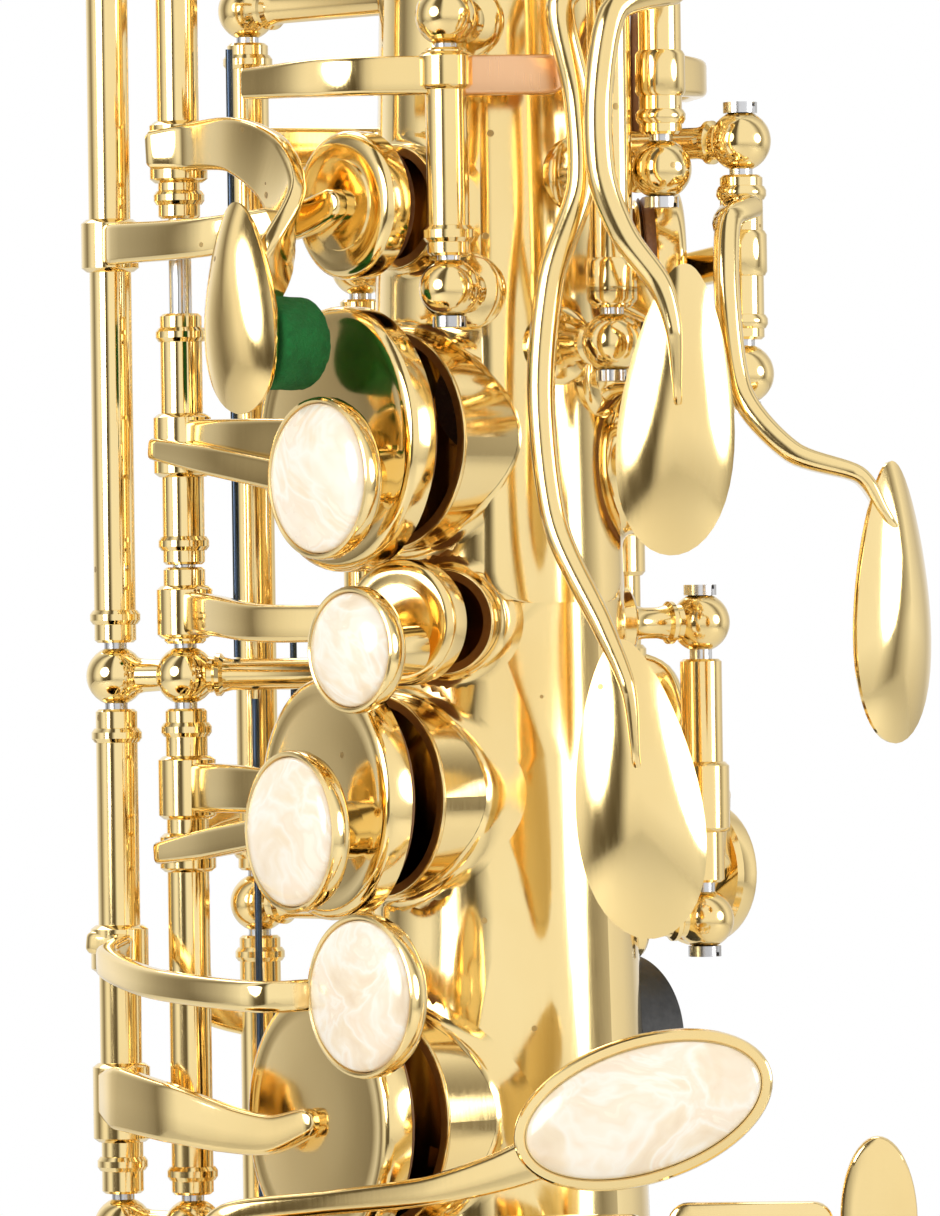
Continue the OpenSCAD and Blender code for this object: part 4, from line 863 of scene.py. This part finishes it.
def makeBellKey(name, key):
    hole = bellHoles[name]
    line = hinge[name]
    turned = swing(line, key["open"])
    m = Maker(turned)
    for a, b in key["runs"]:
        arm = [(key["arm"], 8, 0.8)] if a < key["arm"] < b else []
        m.tube(line, a, b, [(a + 2.2, 1.6, 0.5), (b - 2.2, 1.6, 0.5)] + arm)
    r = bellOuter(hole[1]) + horn["chimney"] + horn["padGap"] + horn["cupHigh"] + 0.8
    a = math.radians(hole[0])
    end = Vector((r * math.sin(a), -horn["bellGap"] - r * math.cos(a), -hole[1]))
    m.strap([at(name, key["arm"])] + [Vector(p) for p in key["via"]] + [end], (8, 8, 7, 6), horn["strap"])
    place = bellSeat(hole)
    m.cup(hole, place)
    lo, hi, side = key["step"]
    bow = [Vector((line.x + dx, line.y + dy, -d)) for dx, dy, d in
           ((0, 0, lo), (side, -7, lo + 3), (side, -7, hi - 3), (0, 0, hi))]
    m.strap(bow, (3.4, 3.4), 2.2, Vector((1, 0, 0)))
    up = nearWay if name != "lowCs" else upWay
    m.strap([at(name, key["from"])] + [beside(*p) for p in key["lift"]], key["liftWide"], key["liftThick"], up)
    if name == "lowCs":
        slab(m, roundedLine(19, 14, 1.6), 3.0, placed(beside(5.6, 33.4, 163.4), 40))
    if name == "lowB":
        slab(m, roundedLine(18, 18, 2.2), 3.0, placed(beside(27, 34, 164), 40))
    if name == "lowBb":
        slab(m, ovalLine(4.2, 9, 48), 3.0, placed(beside(40.8, 34, 157), 42))
    m.done(name + "Key", key["body"], brass, (key["node"],))
    padIn(name + "Pad", key["body"], hole, turned, place)


for name, key in bellKeys.items():
    makeBellKey(name, key)


def makeRollers():
    # black rollers between the table touches
    for name, body, place, half in (("rollerB", "low_b", beside(23, 37.0, 165.4), 6.0),
                                    ("rollerCs", "low_cs", beside(13.2, 36.2, 165.0), 4.5)):
        m = Maker(swing(hinge["lowB"], bellKeys["lowB"]["open"]) if body == "low_b" else None)
        m.lathe([(0.9, 0.1 - half), (1.35, 0.3 - half), (1.55, 1.2 - half), (1.6, 0), (1.55, half - 1.2),
                 (1.35, half - 0.3), (0.9, half - 0.1)], Matrix.Translation(place), 28)
        m.done(name, body, finishes["black_plastic"], ())


makeRollers()

sideKeys = {
    "sideE": {"node": "side_e_key", "body": "side_e", "hole": "highE", "runs": [(23.8, 120.2), (127.8, 228.2)],
              "arm": 36, "via": (-112, 31), "jog": (-86, 44, 112, 138), "lift": (212, -84, 47, 213),
              "touch": (-84, 46, 215, -66, 26)},
    "sideC": {"node": "side_c_key", "body": "side_c", "hole": "sideC", "runs": [(53.8, 146.2), (153.8, 254.2)],
              "arm": 66, "via": (-128, 27), "jog": (-108, 38, 140, 160), "lift": (240, -100, 44, 241),
              "touch": (-99, 43, 243, -80, 24)},
    "sideBb": {"node": "side_bb_key", "body": "side_bb", "hole": "sideBb", "runs": [(91.8, 166.2), (173.8, 278.2)],
               "arm": 103, "via": (-136, 29), "jog": (-124, 38, 160, 180), "lift": (268, -110, 44, 270),
               "touch": (-108, 43, 270, -88, 24)}}


def makeSideKey(name, key):
    hole = holes[key["hole"]]
    m = Maker()
    for a, b in key["runs"]:
        m.tube(hinge[name], a, b, [(a + 2.2, 1.6, 0.5), (b - 2.2, 1.6, 0.5)])
    m.strap([at(name, key["arm"]), around(*key["via"], key["arm"]), strapEnd(hole)], (5, 4.4), horn["strap"])
    m.cup(hole)
    turn, r, a, b = key["jog"]
    m.strap([at(name, a), around(turn, r, a + 3.5), around(turn, r, b - 3.5), at(name, b)], (4, 4), 2.4)
    d0, turn, r, d1 = key["lift"]
    m.strap([at(name, d0), around(turn, r, d1)], (8, 7), 2.2)
    turn, r, d, look, long = key["touch"]
    m.touch(long, 12, 3.6, placed(around(turn, r, d), look))
    m.done(name + "Key", key["body"], brass, (key["node"],))
    padIn(name + "Pad", key["body"], hole)


for name, key in sideKeys.items():
    makeSideKey(name, key)


def makeFootKeys():
    hole = holes["lowEb"]
    m = Maker()
    m.tube(hinge["lowEb"], 365.8, 400.2, [(385, 8, 0.9)])
    m.strap([at("lowEb", 385), around(-128, 38.6, 385), strapEnd(hole)], (7, 6), horn["strap"])
    m.cup(hole)
    m.strap([at("lowEb", 370.6), around(-96, 49, 370.6), around(-82, 50, 370.6)], (8, 7), horn["strap"])
    m.touch(24, 11, 3.6, placed(around(-78, 50, 370.6), -70, 90))
    m.done("lowEbKey", "low_eb", brass, ("low_eb_key",))
    padIn("lowEbPad", "low_eb", hole)
    hole = holes["lowC"]
    turned = swing(hinge["lowC"], -horn["open"])
    m = Maker(turned)
    m.tube(hinge["lowC"], 379.8, 448.2, [(434, 9, 0.9), (386, 8, 0.9)])
    m.strap([at("lowC", 434), around(-76, 36, 434), strapEnd(hole)], (8, 7), horn["strap"])
    m.cup(hole)
    m.strap([at("lowC", 386), around(-88, 50, 385), around(-82, 51, 385)], (8, 7), horn["strap"])
    m.touch(24, 11, 3.6, placed(around(-76, 51, 385), -70, 90))
    m.done("lowCKey", "low_c", brass, ("low_c_key",))
    padIn("lowCPad", "low_c", hole, turned)


def makeOctaveKeys():
    m = Maker()
    m.tube(hinge["thumb"], 96.2, 121.8, [(112, 8, 0.7)])
    m.strap([at("thumb", 112), around(160, 29, 116), around(172, 31, 121)], (8, 9, 9), horn["strap"])
    m.lathe([(8.0, 0.05), (8.5, 0.6), (8.5, 2.2), (8.2, 2.9), (7.4, 3.1), (4, 3.2), (0.02, 3.2)],
            placed(around(172, 29.4, 121), 172), 48)
    m.done("octaveLever", "octave_thumb_lever", brass, ("octave_lever",))
    m = Maker()
    m.tube(hinge["octave"], 72.8, 104.2, [(84, 5, 0.6), (97, 5, 0.6)])
    m.strap([at("octave", 84), around(-172, 22.4, 84), around(-166, 21.6, 84)], (4, 4), horn["strap"])
    m.lathe([(0.02, 0.1), (3.0, 0.1), (3.6, 0.6), (3.6, 4.2), (3.0, 5.0), (0.02, 5.0)],
            facing(-166, tubeR(84) + 2.62, 84), 40)
    m.strap([at("octave", 97), around(173, 25, 98.5), around(168, 25.6, 103)], (4.4, 4), horn["strap"])
    m.done("octaveKey", "body_octave_key", brass, ("octave_key",))


makeFootKeys()
makeOctaveKeys()

# posts by hinge and depth, with the radius of a foot that is smaller than the rest
postPlaces = {
    "upper_posts": [("upper", 12), ("upper", 97.2), ("upper", 160.2), ("far", 12), ("far", 97.2), ("far", 160.2),
                    ("bar", 24.4), ("bar", 54.6), ("sideE", 20), ("sideE", 124), ("sideE", 232), ("sideC", 50),
                    ("sideC", 150), ("sideC", 258), ("sideBb", 88), ("sideBb", 170), ("sideBb", 282),
                    ("gSharp", 166, 3.1), ("gSharp", 188, 3.1)],
    "lower_posts": [("lower", 194.6, 3.1), ("lower", 231), ("lower", 270), ("lower", 356), ("lowEb", 362),
                    ("lowEb", 404), ("lowC", 376), ("lowC", 452)],
    "palm_posts": [("palmEb", 38.5), ("palmEb", 64.4), ("palmF", 11), ("palmF", 41.6), ("palmD", 6),
                   ("palmD", 60.8), ("thumb", 92), ("thumb", 126), ("octave", 69), ("octave", 108)],
    "bell_posts": [("lowCs", 164.5), ("lowCs", 404), ("lowCs", 444), ("lowB", 170), ("lowB", 345), ("lowB", 377),
                   ("lowBb", 177), ("lowBb", 285), ("lowBb", 320)]}


def makePosts(node, places):
    # each is a turned ball on a waisted stem and a domed foot
    m = Maker()
    for h, d, *foot in places:
        line = hinge[h]
        r = math.hypot(line.x, line.y)
        turn = math.degrees(math.atan2(line.x, -line.y))
        ground = horn["topR"] + 2.2 if d < 14 else tubeR(d)
        foot = foot[0] if foot else horn["footR"]
        ball, stem = horn["ballR"], horn["stemR"]
        place = placed(Vector((0, 0, -d)), turn)
        profile = [(foot, ground - 0.8), (foot, ground + 0.75), (foot - 0.3, ground + 1.15),
                   (foot - 1.0, ground + 1.4), (stem + 0.6, ground + 1.6),
                   (stem + 0.12, ground + 2.3), (stem - 0.1, ground + 3.4)]
        if h != "far" or d == 12:
            profile += [(stem - 0.12, r - 5.4), (stem + 0.1, r - 4.5), (stem + 0.55, r - 4.1),
                        (stem + 0.55, r - 3.6), (stem + 0.1, r - 3.25)]
        else:
            profile += [(stem - 0.12, r - 5.4), (stem, r - 3.4)]
        for k in range(13):
            a = math.radians(-52 + (142 - 3) * k / 12)
            profile.append((ball * math.cos(a), r + ball * math.sin(a)))
        m.lathe(profile, place, 40)
    if node == "upper_posts":
        for d in (12, 97.2, 160.2):
            middle = Matrix.Translation(at("upper", d).lerp(at("far", d), 0.5))
            across = (hinge["far"] - hinge["upper"]).to_track_quat("Z", "Y").to_matrix().to_4x4()
            m.lathe([(1.55, -6.2), (1.55, 6.2)], middle @ across, 28)
    m.done(node.replace("_p", "P"), "horn", brass, (node,))


for node, places in postPlaces.items():
    makePosts(node, places)


def makeFlares():
    # the drawn metal that rises from the tube into each tone hole, and its rolled rim
    m = Maker()
    n = 56
    for hole in holes.values():
        turn, d, cupR = hole
        r = cupR * 0.82
        place = placed(Vector((0, 0, -d)), turn)
        rings = []
        for k in range(7):
            t = k / 6
            wide = r + 0.03 + 1.9 * (1 - t) ** 2.2
            ring = []
            for i in range(n):
                a = 2 * math.pi * i / n
                x, y = wide * math.cos(a), wide * math.sin(a)
                skin = math.sqrt(max(0.5, tubeR(d - y) ** 2 - x * x))
                ring.append(place @ Vector((x, y, skin - 0.02 + t * t * 1.6)))
            rings.append(ring)
        m.rows(rings, caps=False)
        top = rim(d)
        m.lathe([(r + 0.28 * math.cos(a), top - 0.3 + 0.3 * math.sin(a)) for a in
                 (2 * math.pi * k / 8 for k in range(8))], place, 56, loop=True)
    m.done("toneHoleFlares", "horn", brass, (), 60)


def makeRibPlate():
    # the long plate under the palm key posts, rounded at its lower end
    m = Maker()
    lo, hi, top, low, r, thick = 34.0, 113.0, 18.0, 89.5, 4.0, 0.6
    n = 26
    rows = []
    for k in range(n + 1):
        d = top + (low - top) * (1 - (1 - k / n) ** 1.6)
        inset = 0 if d < low - r else r - math.sqrt(max(0.0, r * r - (d - low + r) ** 2))
        shrink = math.degrees(inset / tubeR(d))
        rows.append((d, lo + shrink, hi - shrink))
    steps = 22
    rings = []
    for d, a, b in rows:
        outer = [around(a + (b - a) * i / steps, tubeR(d) + thick, d) for i in range(steps + 1)]
        outer[0] = around(a, tubeR(d) + thick * 0.7, d)
        outer[-1] = around(b, tubeR(d) + thick * 0.7, d)
        inner = [around(b - (b - a) * i / steps, tubeR(d) - 0.05, d) for i in range(steps + 1)]
        rings.append(outer + inner)
    m.rows(rings)
    m.done("palmRibPlate", "horn", brass, ())


makeFlares()
makeRibPlate()


def makeNeckKey():
    m = Maker()
    line = [(15.45, 19.45), (16.9, 19.45), (17.2, 19.8), (17.2, 22.0), (16.9, 22.35), (15.45, 22.35)]
    m.lathe(line, Matrix.Identity(4), 72, loop=True)
    m.strap([Vector((0, -15.8, 20.6)), Vector((0, -15.9, 28)), Vector((0, -15.6, 35.6)), Vector((0, -14.2, 44)),
             Vector((0, -9, 66)), Vector((0, 0.5, 79.5)), Vector((0, 12, 87)), Vector((0, 34, 90))],
            (5, 5.2, 6, 6, 6, 6, 5.6, 5), 2.2, Vector((1, 0, 0)), steps=6)
    m.lathe([(2.6, -4), (2.6, 4)], Matrix.Translation((0, -15.2, 34)) @ Matrix.Rotation(math.pi / 2, 4, "Y"), 28)
    m.lathe([(3.4, 84.25), (4.2, 84.8), (4.2, 88.6), (3.6, 89.8), (0.02, 90.2)],
            Matrix.Translation((0, 36, 0)), 40)
    m.done("neckOctaveKey", "neck_octave", brass, ("neck_octave_key",))


makeNeckKey()
print("bell, side, foot and octave keys, posts and flares made")
